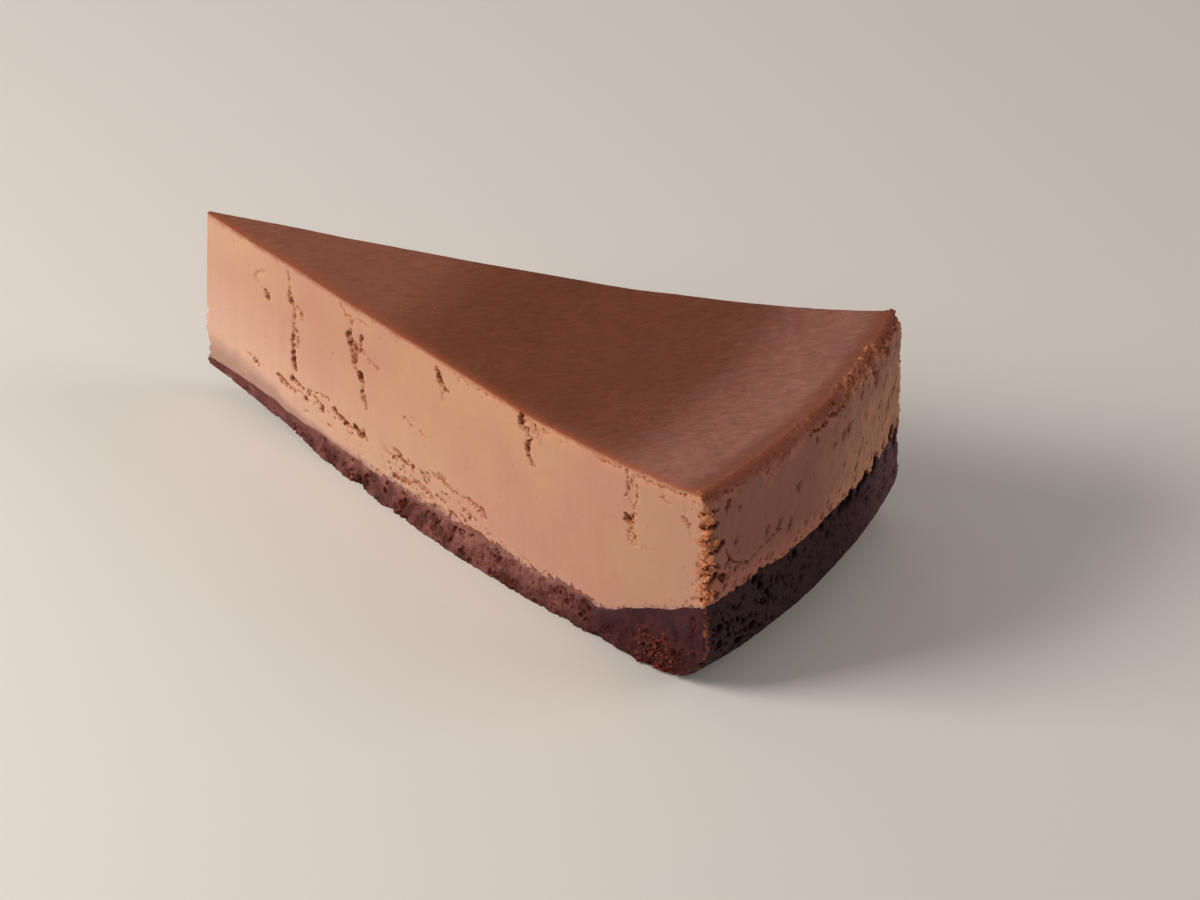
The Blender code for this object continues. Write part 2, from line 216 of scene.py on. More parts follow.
FAR_TEARS = (
    Tear(((28, 31.5), (28.8, 27), (28.2, 24)), 0.55, 1.4),
    Tear(((28.4, 23), (27.9, 18)), 0.80, 1.6),
    Tear(((51, 33.0), (52.6, 29.5)), 0.65, 1.5),
    Tear(((52.2, 28.4), (51.8, 23.5)), 1.00, 1.9),
    Tear(((68, 12.5), (71, 11.6), (75, 12.0)), 0.60, 1.2),
    Tear(((76, 11.2), (83, 12.2)), 0.70, 1.2),
    Tear(((90, 34.2), (90.6, 31.6)), 0.75, 1.3),
    Tear(((90.8, 31), (91.4, 28.6)), 0.50, 1.1),
    Tear(((39, 11), (42, 10.4), (46, 10.2)), 0.55, 1.1),
)

# Where short flat tears lie thick in a cut: first and last millimetre along it, lowest and highest, and
# how thick they lie
Patch = namedtuple("Patch", "start end low high thick")

NEAR_PATCHES = (Patch(44, 74, 3.8, 11.6, 0.50), Patch(20, 44, 6.0, 12.0, 0.25))
FAR_PATCHES = (Patch(62, 88, 6.0, 12.0, 0.7), Patch(34, 48, 6.5, 11.0, 0.6))

# Cracks in the wall, most of them beside the near corner. Their points are millimetres round the wall from
# that corner and millimetres above the base
WALL_TEARS = (
    Tear(((-0.5, 36.2), (1.4, 36.6), (2.6, 36.2)), 0.26, 0.7),
    Tear(((-0.5, 33.4), (1.2, 33.3), (2.5, 33.7)), 0.40, 1.7),
    Tear(((-0.5, 31.0), (0.8, 31.2), (2.2, 30.9)), 0.26, 1.0),
    Tear(((-0.5, 28.2), (0.9, 28.6), (2.0, 28.2), (3.4, 29.2)), 0.55, 2.0),
    Tear(((-0.5, 25.6), (1.1, 25.8), (2.9, 25.2)), 0.34, 1.4),
    Tear(((0.5, 23.4), (1.8, 24.2)), 0.55, 1.6),
    Tear(((3.4, 23.6), (4.0, 21.8)), 0.55, 1.6),
    Tear(((4.2, 24.6), (5.3, 25.3), (6.9, 23.7)), 0.22, 0.9),
    Tear(((4.6, 27.3), (5.3, 25.3), (5.0, 23.6)), 0.20, 0.8),
    Tear(((6.4, 22.6), (7.6, 23.2), (9.4, 22.4)), 0.24, 0.9),
    Tear(((2.2, 39.0), (5.5, 38.5), (9.0, 38.3)), 0.15, 0.5),
    Tear(((10.0, 23.0), (13.5, 24.0), (17.5, 24.4)), 0.20, 0.6),
    Tear(((19.7, 18.9), (22.5, 18.5), (28.0, 18.2)), 0.22, 0.7),
    Tear(((25.4, 38.0), (28.2, 37.4), (31.3, 37.8), (36.3, 37.1)), 0.30, 1.0),
)

# Divisions of the fine meshes, how many triangles each keeps, and from which angle an edge looks sharp
STEPS_ALONG = 620
FILLING_ROWS = 156
CRUST_ROWS = 72
RIM_STEPS = 300
TIP_STEPS = 6
HIDDEN_STEPS = 4
TOP_CELL = 0.5 * MM
UNDER_CELL = 1.2 * MM
MOST_TRIANGLES = 196000
SHARP_ANGLE = math.radians(55)

# How far in from a surface its relief is still felt
CUT_FELT = 2.5 * MM
WALL_FELT = 0.030

# Streaks of the browned wall lean by this angle, and the skin's ripples turn by this one
WALL_SLANT = math.radians(22)
RIPPLE_TURN = math.radians(-30)

# Tones that the materials mix in beside the panel's colours, as linear values
SAND = (0.66, 0.41, 0.29)
# Tears and pits are painted darker with depth as painted shade: the tones at a tear's edge and at the floor
# of those in the wall
TORN_EDGE = (0.46, 0.215, 0.120)
TORN_WALL_SHADE = (0.140, 0.026, 0.006)
# A painted highlight on the lip that a tear raises
TORN_LIP_HIGHLIGHT = (0.72, 0.48, 0.33)
# Painted shade in the crevices between crumbs of the broken edges
CREVICE_SHADE = (0.230, 0.036, 0.006)
# Near-black painted shade in the notches under the filling's overhang
NOTCH_SHADE = (0.030, 0.007, 0.004)
WALL_SPECK = (0.55, 0.33, 0.12)
WALL_GRAIN = (0.60, 0.33, 0.15)
LIP_NEAR, LIP_FAR = (0.47, 0.165, 0.100), (0.58, 0.265, 0.145)
RIM_NEAR, RIM_FAR = (0.46, 0.155, 0.105), (0.60, 0.225, 0.105)
SKIN_SPECK = (0.36, 0.17, 0.11)
CRUST_TIP = (0.100, 0.026, 0.026)
CRUST_EDGE = (0.22, 0.062, 0.028)
CRUST_CRIMSON = (0.260, 0.018, 0.020)
HEAP_BRIGHT = (0.42, 0.105, 0.050)

# What the colour below is multiplied by: painted light on the skin at the tip, painted shade and
# highlights on its ripples, and painted shade on the crust
SKIN_TIP_PAINTED_LIGHT = (1.55, 1.9, 2.6)
RIPPLE_PAINTED_SHADE, RIPPLE_PAINTED_HIGHLIGHT = (0.66, 0.60, 0.56), (1.22, 1.30, 1.36)
CRUST_SHADE = (0.39, 0.31, 0.42)

# How rough each surface is: cut filling, broken crust, smeared crust, loose crumbs and the floor
ROUGH_CUT, ROUGH_CRUST, ROUGH_SMEAR, ROUGH_CRUMB, ROUGH_FLOOR = 0.66, 0.88, 0.62, 0.85, 0.7

# How far red, green and blue light go into the food, as shares, and the warm tint of what glances off
LIGHT_REACHES = (1.0, 0.45, 0.25)
WARM_TINT = (1.0, 0.85, 0.80, 1.0)

# A loose crumb: points along each edge, how far its corners draw in, how flat it may be, how far noise
# shifts its points, the size of that noise, and the seed of its tone
CRUMB_POINTS = 3
CRUMB_CORNERS = {"From Min": 0.5, "From Max": 0.87, "To Min": 1.0, "To Max": 0.84}
CRUMB_FLATTEST, CRUMB_FULLEST = (0.40, 0.40, 0.40), (1.20, 1.20, 1.20)
CRUMB_SHIFT, CRUMB_NOISE = 0.55 * MM, 0.4 * MM
TONE_SEED = 11

# The stage: a round floor of this radius and this many corners, the colour of the light from all round,
# where the camera aims, and its lens
FLOOR_RADIUS, FLOOR_CORNERS = 3.0, 96
SURROUND_COLOUR = (1.0, 0.95, 0.9, 1.0)
AIM = Vector((19.31, 0, 15.72)) * MM
LENS_MM, SENSOR_MM = 164.48, 36.0

# The twelve slopes that the noise draws from
SLOPES = np.array([
    (1, 1, 0), (-1, 1, 0), (1, -1, 0), (-1, -1, 0),
    (1, 0, 1), (-1, 0, 1), (1, 0, -1), (-1, 0, -1),
    (0, 1, 1), (0, -1, 1), (0, 1, -1), (0, -1, -1),
], float)


def smooth(value):
    """A soft step from 0 to 1."""
    t = np.clip(value, 0, 1)
    return t * t * (3 - 2 * t)


def rise(length, start, width):
    """0 up to a start and 1 from a width past it, both in millimetres."""
    return smooth((length - start * MM) / (width * MM))


def fall(length, end, width):
    """1 up to a width before an end and 0 past it, both in millimetres."""
    return smooth((end * MM - length) / (width * MM))


def scramble(x, y, z, seed):
    """One repeatable whole number for each cell of a grid."""
    h = x.astype(np.uint64) * np.uint64(73856093)
    h ^= y.astype(np.uint64) * np.uint64(19349663)
    h ^= z.astype(np.uint64) * np.uint64(83492791)
    h ^= np.uint64(seed * 2654435761 & 0xFFFFFFFF)
    h = (h ^ (h >> np.uint64(15))) * np.uint64(2246822519) & np.uint64(0xFFFFFFFF)
    h = (h ^ (h >> np.uint64(13))) * np.uint64(3266489917) & np.uint64(0xFFFFFFFF)
    return h ^ (h >> np.uint64(16))


def bumps(x, y, z, size, seed):
    """Soft noise from about -1 to 1, with bumps of the given size."""
    x, y, z = (np.asarray(c, float) / size + seed * 17.3 for c in np.broadcast_arrays(x, y, z))
    cells = [np.floor(c).astype(np.int64) for c in (x, y, z)]
    inside = [c - cell for c, cell in zip((x, y, z), cells)]
    ease = [f * f * f * (f * (f * 6 - 15) + 10) for f in inside]
    total = np.zeros_like(x)
    for corner in range(8):
        step = [corner >> k & 1 for k in range(3)]
        slope = SLOPES[scramble(*(cell + s for cell, s in zip(cells, step)), seed) % np.uint64(12)]
        weight = math.prod(e if s else 1 - e for e, s in zip(ease, step))
        total += weight * sum(slope[..., k] * (inside[k] - step[k]) for k in range(3))
    return total


def layered(x, y, z, size, seed, layers):
    """Noise whose bumps carry smaller bumps."""
    return sum(bumps(x, y, z, size / 2.1**k, seed + 31 * k) / 1.8**k for k in range(layers))


def holes(a, b, size, seed, chance):
    """How deep each place lies in a scatter of round holes: 0 outside, up to 1 in the largest."""
    a, b = a / size, b / size
    deepest = np.zeros_like(a)
    cell_a, cell_b = np.floor(a).astype(np.int64), np.floor(b).astype(np.int64)
    layer = np.zeros_like(cell_a)
    for step_a in (-1, 0, 1):
        for step_b in (-1, 0, 1):
            draw = scramble(cell_a + step_a, cell_b + step_b, layer, seed)
            drawn = (draw >> np.uint64(shift) & np.uint64(255) for shift in (0, 8, 16, 24))
            pick = [part.astype(float) / 255 for part in drawn]
            away = np.hypot(cell_a + step_a + pick[0] - a, cell_b + step_b + pick[1] - b)
            radius = 0.22 + 0.28 * pick[2] ** 2
            here = np.where(pick[3] < chance, np.clip(1.25 - away / radius, 0, 1) * radius * 2, 0)
            deepest = np.maximum(deepest, here)
    return deepest


def scatters(a, b, *rows):
    """The deepest of several scatters of holes. A row says how deep, how far drawn in each way, the size in
    millimetres, the seed and the chance of a hole."""
    deepest = 0
    for share_of_depth, in_a, in_b, size, seed, chance in rows:
        found = share_of_depth * holes(a * in_a, b * in_b, size * MM, seed, chance)
        deepest = np.maximum(deepest, found)
    return deepest


def lumps(x, y, z, size, seed):
    """Broken lumps of uneven size: 0 in the crevices between them, up to 1 on top."""
    coarse = np.abs(bumps(x, y, z, size, seed))
    fine = np.abs(bumps(x, y, z, size / 2.3, seed + 5))
    return np.clip(1.9 * coarse + 1.1 * fine, 0, 1)


def where_needed(needed, function, *places):
    """The function's values at the places that need them, and 0 elsewhere."""
    values = np.zeros(needed.shape)
    if needed.any():
        values[needed] = function(*(np.broadcast_to(p, needed.shape)[needed] for p in places))
    return values


def share(radius):
    """A radius as a share of the cake's."""
    return radius / CAKE_RADIUS


def radius_at(u):
    """Radius at a share of the way from tip to rim."""
    return TIP_RADIUS + u * (CAKE_RADIUS - TIP_RADIUS)


def rim_lumps(radius, across):
    """Crumbs baked onto the edge of the rim: clumps here and there, and hardly any beside the near cut."""
    thick = np.clip(0.05 + 2.0 * layered(across, 0, 0, 6 * MM, 75, 2), 0, 1)
    thick *= 0.2 + 0.8 * rise(across, -12, 14)
    edge = smooth((radius - CAKE_RADIUS + 2.8 * MM) / (2.2 * MM))
    return RIM_LUMP * edge * thick * lumps(across, radius, 0, 1.3 * MM, 47)


def top_height(radius, v):
    """Height of the baked top: a shallow dish that rises to the rim."""
    far = (v + 1) / 2
    start = TOP_RISE_FROM - FAR_RISE_SOONER * far
    climb = np.clip((share(radius) - start) / (1 - start), 0, 1)
    height = MIDDLE_HEIGHT + (RIM_HEIGHT - MIDDLE_HEIGHT) * climb ** (TOP_RISE_POWER + FAR_RISE_STEEPER * far)
    height += TIP_TOP_LIFT * np.clip(1 - share(radius) / 0.3, 0, 1)
    across = v * radius * HALF_ANGLE
    height += TOP_WAVE * bumps(radius, across, 0, TOP_WAVE_SIZE, 1)
    here = radius + 0 * across
    height += where_needed(here > CAKE_RADIUS - 3.5 * MM, rim_lumps, here, across)
    return height + TOP_GRAIN * layered(radius, across, 0, TOP_GRAIN_SIZE, 21, 2)


def crust_height(radius, v):
    """Height of the line where the filling lies on the crust."""
    part = share(radius)
    height = CRUST_MIDDLE + CRUST_TIP_EXTRA * np.clip(1 - part / 0.26, 0, 1) ** 0.6
    height += CRUST_OUTER_EXTRA * smooth((part - 0.55) / 0.30)
    rim = CRUST_RIM_NEAR + (CRUST_RIM_FAR - CRUST_RIM_NEAR) * (v + 1) / 2
    climb = np.clip((part - CRUST_CLIMB_FROM) / (1 - CRUST_CLIMB_FROM), 0, 1)
    height += (rim + CRUST_RIM_ARCH * (1 - v * v) - CRUST_MIDDLE - CRUST_OUTER_EXTRA) * climb
    wave = layered(radius, v * radius * HALF_ANGLE, 0, 7 * MM, 2, 3)
    return height + CRUST_LINE_WAVE * smooth(part / 0.2) * wave


def under_height(radius, v):
    """Height of the crust's underside, which is the same from cut to cut."""
    part = share(radius)
    tip = TIP_UNDER_LIFT * np.clip(1 - part / TIP_UNDER_REACH, 0, 1) ** 1.6
    return tip + RIM_UNDER_LIFT * smooth((part - RIM_UNDER_FROM) / (RIM_UNDER_TO - RIM_UNDER_FROM))


def round_edge(depth, radius):
    """How far a rounded edge has drawn in, this deep into its rounding."""
    d = np.clip(depth, 0, radius)
    return radius - np.sqrt(radius * radius - d * d)


def corner_width(side, z):
    """How far the crumbled strip beside the upright corner reaches at a height."""
    ragged = np.clip(0.85 + 0.9 * layered(0 * z, side, z, 2.4 * MM, 44, 3), 0.35, 1.35)
    in_crust = smooth((CRUST_RIM_NEAR - z) / (1 * MM))
    return CORNER_REACH * ragged * (1 - 0.38 * rise(z, 31, 4)) * (1 - 0.55 * in_crust)


def corner_crumble(across, side, z):
    """Crumbs lost so far across from the upright corner: more than 0 on the cut, less on the wall."""
    reach = np.clip(1 - np.abs(across) / corner_width(side, z), 0, 1)
    lost = np.clip(0.30 + 1.3 * layered(across, side, z, CORNER_CRUMBLE_SIZE, 3, 4), 0, 1)
    amount = np.where(side < 0, 1.0, 0.25) * (1 - 0.45 * smooth((CRUST_RIM_NEAR - z) / (1 * MM)))
    quiet = (1 - 0.4 * rise(z, 32, 4)) * (1 - 0.35 * smooth(-across / (0.9 * MM)))
    cracked = 0.58 * quiet * np.sqrt(reach) * corner_cracks(across, side, z)
    return CORNER_CRUMBLE * amount * (0.6 * reach * lost + cracked)


def tip_crumble(z):
    """Crumbs lost from the lower part of the tip."""
    low = smooth((TIP_CRUMBLE_BELOW - z) / (5 * MM))
    return TIP_CRUMBLE * low * np.clip(0.4 + layered(0, 0, z, TIP_CRUMBLE_SIZE, 4, 3), 0, 1)


def distance_to_path(a, b, path):
    """Shortest distance from each place to a chain of straight pieces."""
    best = np.full_like(a, np.inf)
    for (ax, az), (bx, bz) in zip(path, path[1:]):
        length2 = (bx - ax) ** 2 + (bz - az) ** 2
        t = np.clip(((a - ax) * (bx - ax) + (b - az) * (bz - az)) / length2, 0, 1)
        best = np.minimum(best, np.hypot(a - ax - t * (bx - ax), b - az - t * (bz - az)))
    return best


def tear_depth(tears, along, z):
    """Depth of tears in TEAR_UNITs: beaded and ragged, with a raised lip and a floor of broken crumbs."""
    reach = np.zeros(along.shape, bool)
    boxes = []
    for tear in tears:
        low = np.min(tear.points, 0) - TEAR_MARGIN
        high = np.max(tear.points, 0) + TEAR_MARGIN
        inside = (along / MM > low[0]) & (along / MM < high[0]) & (z / MM > low[1]) & (z / MM < high[1])
        boxes.append(inside)
        reach |= inside
    deepest = np.zeros(along.shape)
    if not reach.any():
        return deepest
    a, b = along[reach], z[reach]
    shift_a = 0.42 * layered(a, 3 * MM, b, 1.3 * MM, 5, 3)
    shift_b = 0.42 * layered(a, 9 * MM, b, 1.3 * MM, 6, 3)
    beads = np.clip(0.95 + 0.85 * bumps(a, 0, b, 1.8 * MM, 9), 0.5, 1.5)
    floor = np.clip(0.66 + 1.1 * layered(a, 0, b, 0.8 * MM, 7, 3), 0.28, 1.15)
    raised = np.clip(0.3 + 1.6 * bumps(a, 4 * MM, b, 0.9 * MM, 35), 0, 1)
    frayed = 0.24 * bumps(a, 0, b, 0.42 * MM, 46)
    a, b = a / MM + shift_a + frayed, b / MM + shift_b + frayed
    found = np.zeros(a.shape)
    for tear, inside in zip(tears, boxes):
        here = inside[reach]
        away = distance_to_path(a[here], b[here], tear.points)
        width = tear.half_width * beads[here]
        opened = smooth((width - away) / 0.24 + 0.5)
        lip = np.exp(-(((away - width - 0.38) / 0.34) ** 2)) * raised[here]
        depth = np.where(opened > 0.02, tear.depth * opened * floor[here], -0.17 * min(tear.depth, 1.2) * lip)
        before = found[here]
        deeper = (depth > 0) | (before > 0)
        found[here] = np.where(deeper, np.maximum(depth, before), np.minimum(depth, before))
    deepest[reach] = found
    return deepest


def patch_depth(patches, along, z, seed):
    """Depth of the short flat tears that lie thick in some places, in TEAR_UNITs."""
    rows = layered(along / 2.5, 0, (z + 0.05 * along) / 0.9, 1.12 * MM, seed, 3)
    ragged = layered(along, 0, z, 0.6 * MM, seed + 7, 3)
    deepest = np.zeros_like(along)
    for patch in patches:
        inside = smooth((along / MM - patch.start) / 5) * smooth((patch.end - along / MM) / 5)
        inside *= smooth((z / MM - patch.low) / 1.4) * smooth((patch.high - z / MM) / 1.4)
        opened = smooth((rows + 0.30 * ragged - 0.46 + 0.34 * patch.thick * inside) / 0.13)
        deepest = np.maximum(deepest, 0.90 * inside * opened * np.clip(0.7 + 1.2 * ragged, 0.2, 1.2))
    return deepest


def torn_depth(radius, along, side, z):
    """Everything that tore out of the filling where the knife passed, in TEAR_UNITs."""
    near = side < 0
    below = (top_height(radius, side) - z) / MM
    deepest = np.zeros_like(along)
    cuts = ((near, NEAR_TEARS, NEAR_PATCHES, 41), (~near, FAR_TEARS, FAR_PATCHES, 61))
    for here, tears, patches, seed in cuts:
        a, b = along[here], z[here]
        found = tear_depth(tears, a, b)
        found = np.where(np.abs(found) > 1e-6, found, patch_depth(patches, a, b, seed))
        ragged_a = a + 0.30 * MM * layered(a, 0, b, 0.8 * MM, seed + 1, 2)
        ragged_b = b + 0.30 * MM * layered(a, 5 * MM, b, 0.8 * MM, seed + 2, 2)
        under_skin = smooth((below[here] - 0.5) / 0.4) * smooth((2.9 - below[here]) / 1.2)
        under_skin *= smooth((a / MM - 30) / 12)
        crowd = 0.36 + 0.24 * bumps(a, 0, 0 * a, 9 * MM, seed + 8)
        near_crust = (b - crust_height(radius[here], side[here])) / MM
        near_crust = smooth(1 - near_crust / 2.4) * smooth((a / MM - 30) / 10) * smooth((98 - a / MM) / 10)
        pits = scatters(
            ragged_a, ragged_b,
            (0.40 * under_skin, 0.7, 1, 0.8, seed + 3, crowd),
            (0.65 * smooth((a / MM - 115.5) / 4), 1, 1, 1.2, seed + 5, 0.34),
            (0.8 * near_crust, 0.8, 1, 1.1, seed + 6, 0.36),
        )
        deepest[here] = np.maximum(found, pits)
    return deepest * smooth(below * MM / SKIN_HOLDS)


def crust_share(radius, side, z):
    """1 well inside the crust, 0 in the filling, so that both layers agree on the line between them."""
    return smooth((crust_height(radius, side) - z) / (1.2 * MM))


def smear_share(along, side, z, depth):
    """1 where the knife dragged the crust smooth: further down at the tip, and furthest beside the rim."""
    reach = SMEAR_DEPTH + SMEAR_CORNER_EXTRA * smooth((along - SMEAR_CORNER_FROM) / (16 * MM))
    reach += SMEAR_TIP_EXTRA * smooth(1 - along / (48 * MM))
    ragged = np.clip(1 + 1.2 * layered(along, side, z, 2.4 * MM, 72, 3), 0.1, 2)
    return smooth(1.3 - depth / (reach * ragged))


def crumb_heap(along, side, z):
    """1 in the loose crumbs along the near foot beside the rim, and in a clump of them above it."""
    clump = np.hypot(along - 112 * MM, 1.2 * (z - 4.8 * MM)) / (4.0 * MM)
    foot = smooth(1.3 - z / (2.4 * MM)) * rise(along, 103, 6)
    ragged = 0.9 * layered(along, side, z, 2.0 * MM, 73, 3)
    return np.where(side < 0, np.maximum(smooth(1.35 - clump + ragged), foot * smooth(0.7 + 1.6 * ragged)), 0)


def crust_crags(along, side, z, depth):
    """How far the crust's broken face goes in, this deep under the filling."""
    low = rise(depth, 1.5, 3)
    rough = 1 - 0.9 * smear_share(along, side, z, depth)
    crag = CRUST_CRAG * (0.3 + layered(along, side, z, CRUST_CRAG_SIZE, 10, 2)) * (0.5 + 0.5 * low)
    broken = CRUST_GRAIN * grain_cracks(along, side, z)
    broken += 0.4 * CRUST_GRAIN * layered(along, side, z, 0.6 * CRUST_GRAIN_SIZE, 12, 2)
    heaped = crumb_heap(along, side, z)
    heap = heaped * where_needed(heaped > 0, lumps, along, side, z, HEAP_LUMP, 36)
    opened = CRUST_PORE * crust_pores(along, side, z) + CRUST_CAVITY * crust_cavities(along, side, z)
    return crag + (broken + opened) * rough - CRUMB_HEAP * heap


def crust_pores(along, side, z):
    """Small irregular pores in the crust's broken face: 0 outside them, up to about 1 in the deepest."""
    ragged_a = along + 0.4 * MM * layered(along, side, z, 0.8 * MM, 14, 2)
    ragged_b = z + 0.4 * MM * layered(along, side + 1, z, 0.8 * MM, 15, 2)
    return holes(ragged_a, ragged_b, 0.95 * MM, 16, 0.26)


def crust_cavities(along, side, z):
    """The few large holes in the crust's broken face, gone beside the rim."""
    ragged_a = along + 0.8 * MM * layered(along, side, z, 1.6 * MM, 37, 3)
    ragged_b = z + 0.8 * MM * layered(along, side + 1, z, 1.6 * MM, 38, 3)
    return holes(ragged_a, ragged_b, 3.0 * MM, 39, 0.24) * fall(along, 84, 14)


def cut_relief(radius, along, side, z):
    """How far a cut face stands in from the flat plane of the knife, apart from its tears."""
    relief = CUT_WAVE * bumps(along, side, z, CUT_WAVE_SIZE, 6)
    relief += CUT_GRAIN * layered(along, side, z, CUT_GRAIN_SIZE, 8, 2)
    in_crust = crust_share(radius, side, z)
    depth = crust_height(radius, side) - z
    relief += in_crust * where_needed(in_crust > 0, crust_crags, along, side, z, depth)
    from_edge = CAKE_RADIUS + RIM_SWELL - along
    relief += where_needed(from_edge < CORNER_WIDEST, corner_crumble, from_edge, side, z)
    return relief * smooth(along / (6 * MM))


def foot_bulge(radius, side, z):
    """The crust's foot spreads a little past the cut."""
    amount = np.where(side < 0, NEAR_FOOT_BULGE, FAR_FOOT_BULGE)
    along = np.sin(np.pi * np.clip((share(radius) - BULGE_FROM) / BULGE_REACH, 0, 1)) ** 0.8
    low = np.clip(1 - z / crust_height(radius, side), 0, 1)
    return amount * along * low**0.8


def wall_radius(v, z):
    """Radius of the smooth outer wall at a height."""
    top = top_height(CAKE_RADIUS, v)
    foot = RIM_FOOT_NEAR + (RIM_FOOT_FAR - RIM_FOOT_NEAR) * (v + 1) / 2
    radius = CAKE_RADIUS + RIM_SWELL + RIM_LEAN * (1 - z / RIM_HEIGHT)
    radius -= round_edge(foot + RIM_UNDER_LIFT - z, foot)
    return radius - round_edge(z - (top - RIM_LIP_RADIUS), RIM_LIP_RADIUS)


def lip_share(v, z, top):
    """1 in the crumbled band under the rim's upper edge, which the near half hardly has."""
    arc = v * CAKE_RADIUS * HALF_ANGLE
    hangs = LIP_DEPTH * np.clip(0.8 + 0.9 * layered(arc, 0, 0 * arc, 6 * MM, 40, 3), 0.3, 1.6)
    band = smooth((z - top + hangs) / (1.8 * MM)) * smooth((top - z) / (0.7 * MM))
    return band * (0.42 + 0.58 * smooth((v + 0.25) / 0.6))


def wall_pits(arc, v, z, from_line):
    """Pits in the browned filling: few and slanting, more near the corner, the crust and the far lip."""
    ragged_a = arc - 0.4 * z + 0.35 * MM * layered(arc, 0, z, 0.9 * MM, 17, 2)
    ragged_b = z + 0.5 * MM * layered(arc, 7 * MM, z, 0.9 * MM, 18, 2)
    near_corner = smooth((-v - 0.74) / 0.2) * smooth((25 - z / MM) / 6)
    near_line = np.exp(-((from_line / 3.0) ** 2))
    high = smooth((from_line - 11) / 6) * smooth((v + 0.05) / 0.5)
    pits = scatters(
        ragged_a, ragged_b,
        (0.8, 1, 0.42, 1.2, 20, 0.10 + 0.16 * smooth(v + 0.4)),
        (1.4 * near_corner, 1, 1, 1.7, 22, 0.50),
        (0.85 * near_line, 1, 0.8, 1.1, 23, 0.48),
        (1.1 * high, 1, 0.7, 1.1, 27, 0.46),
    )
    return pits * smooth((top_height(CAKE_RADIUS, v) - z) / (1.0 * MM))


def wall_pores(arc, z, from_line):
    """Pores in the crust's wall: a thick row just under the filling, and fewer below."""
    ragged_a = arc + 0.35 * MM * layered(arc, 0, z, 0.8 * MM, 25, 2)
    ragged_b = z + 0.45 * MM * layered(arc, 3 * MM, z, 0.8 * MM, 26, 2)
    near_line = np.exp(-(((from_line + 1.2) / 1.7) ** 2))
    beside_corner = smooth((-arc / MM - 8) / 14)
    few = smooth((-from_line - 1) / 2) * (0.35 + 0.65 * beside_corner)
    torn_row = np.exp(-(((from_line + 0.2) / 2.4) ** 2)) * smooth((arc / MM - 2) / 8)
    near_line *= 1 - 0.8 * smooth((arc / MM - 2) / 8)
    pores = scatters(
        ragged_a, ragged_b,
        (near_line, 1, 0.8, 1.6, 29, 0.64),
        (few, 1, 0.8, 1.7, 30, 0.36),
        (0.9 * few, 1, 1, 0.95, 31, 0.42),
    )
    torn_a = ragged_a - 0.3 * ragged_b + 0.7 * MM * layered(arc, 0, z, 0.5 * MM, 48, 2)
    pores = np.maximum(pores, 1.25 * torn_row * holes(torn_a, ragged_b * 0.65, 2.6 * MM, 73, 0.85))
    return pores * smooth((arc + CAKE_RADIUS * HALF_ANGLE - 0.6 * MM) / (1.4 * MM))


def wall_relief(v, z):
    """How far the wall goes in: streaks and pits in the filling, pores in the crust, and a crumbled lip."""
    arc = v * CAKE_RADIUS * HALF_ANGLE
    top = top_height(CAKE_RADIUS, v)
    in_crust = crust_share(CAKE_RADIUS, v, z)
    from_line = (z - crust_height(CAKE_RADIUS, v)) / MM
    filling = 0.05 * MM * layered(arc - 0.4 * z, 0, z / 1.8, 1.6 * MM, 19, 4)
    filling += 0.09 * MM * smooth((v + 0.1) / 0.5) * layered(arc, 5 * MM, z / 1.7, 0.9 * MM, 45, 2)
    filling += 0.8 * MM * wall_pits(arc, v, z, from_line)
    crust = 0.08 * MM * layered(arc, 0, z, 1.0 * MM, 24, 2) + 1.5 * MM * wall_pores(arc, z, from_line)
    lip = lip_share(v, z, top)
    crumbled = LIP_CRAG * np.clip(0.25 + 1.2 * layered(arc, 0, z, LIP_CRAG_SIZE, 13, 4), 0, 1)
    crumbled += 0.75 * MM * where_needed(lip > 0, lip_cracks, arc, z)
    side = np.where(v < 0, -1.0, 1.0)
    from_edge = (1 - np.abs(v)) * CAKE_RADIUS * HALF_ANGLE
    corner = where_needed(from_edge < CORNER_WIDEST, corner_crumble, -from_edge, side, z)
    cracks = np.maximum(wall_tears(arc, z), 0) * TEAR_UNIT
    in_crust = np.maximum(in_crust, smooth(1.5 - from_line / 2.4) * smooth((v - 0.05) / 0.3))
    relief = RIM_CRAG * bumps(arc, 0, z, RIM_CRAG_SIZE, 12) + cracks * (1 - in_crust)
    return relief + filling * (1 - in_crust) + crust * in_crust + crumbled * lip + corner


def place(u, v, z, tearing):
    """World position of points of the slice, how far each lies along its cut, and how deep it tore there."""
    radius = radius_at(u)
    side = np.where(v < 0, -1.0, 1.0)
    in_wall = where_needed(u > 1 - WALL_FELT, wall_relief, v, z)
    reach = TIP_RADIUS + u * (wall_radius(v, z) - TIP_RADIUS) - smooth(1 - (1 - u) / WALL_FELT) * in_wall
    reach += (1 - u) ** 12 * where_needed(u < 0.4, tip_crumble, z)
    felt = smooth(1 - (1 - np.abs(v)) * radius * HALF_ANGLE / CUT_FELT)
    lost = felt * where_needed(felt > 0, cut_relief, radius, reach, side, z)
    torn = where_needed(np.abs(v) > 0.9999, torn_depth, radius, reach, side, z)
    torn *= smooth(reach / (6 * MM)) * (1 - crust_share(radius, side, z))
    out = v * (foot_bulge(radius, side, z) - lost - tearing * TEAR_UNIT * torn)
    lean = TIP_LEAN * (1 - u) ** 10 * np.clip(1 - z / MIDDLE_HEIGHT, 0, 1)
    x = reach * np.cos(v * HALF_ANGLE) - lean - out * v * math.sin(HALF_ANGLE)
    y = reach * np.sin(v * HALF_ANGLE) + out * math.cos(HALF_ANGLE)
    return np.stack((x - CAKE_RADIUS / 2, y, z), -1), reach, torn


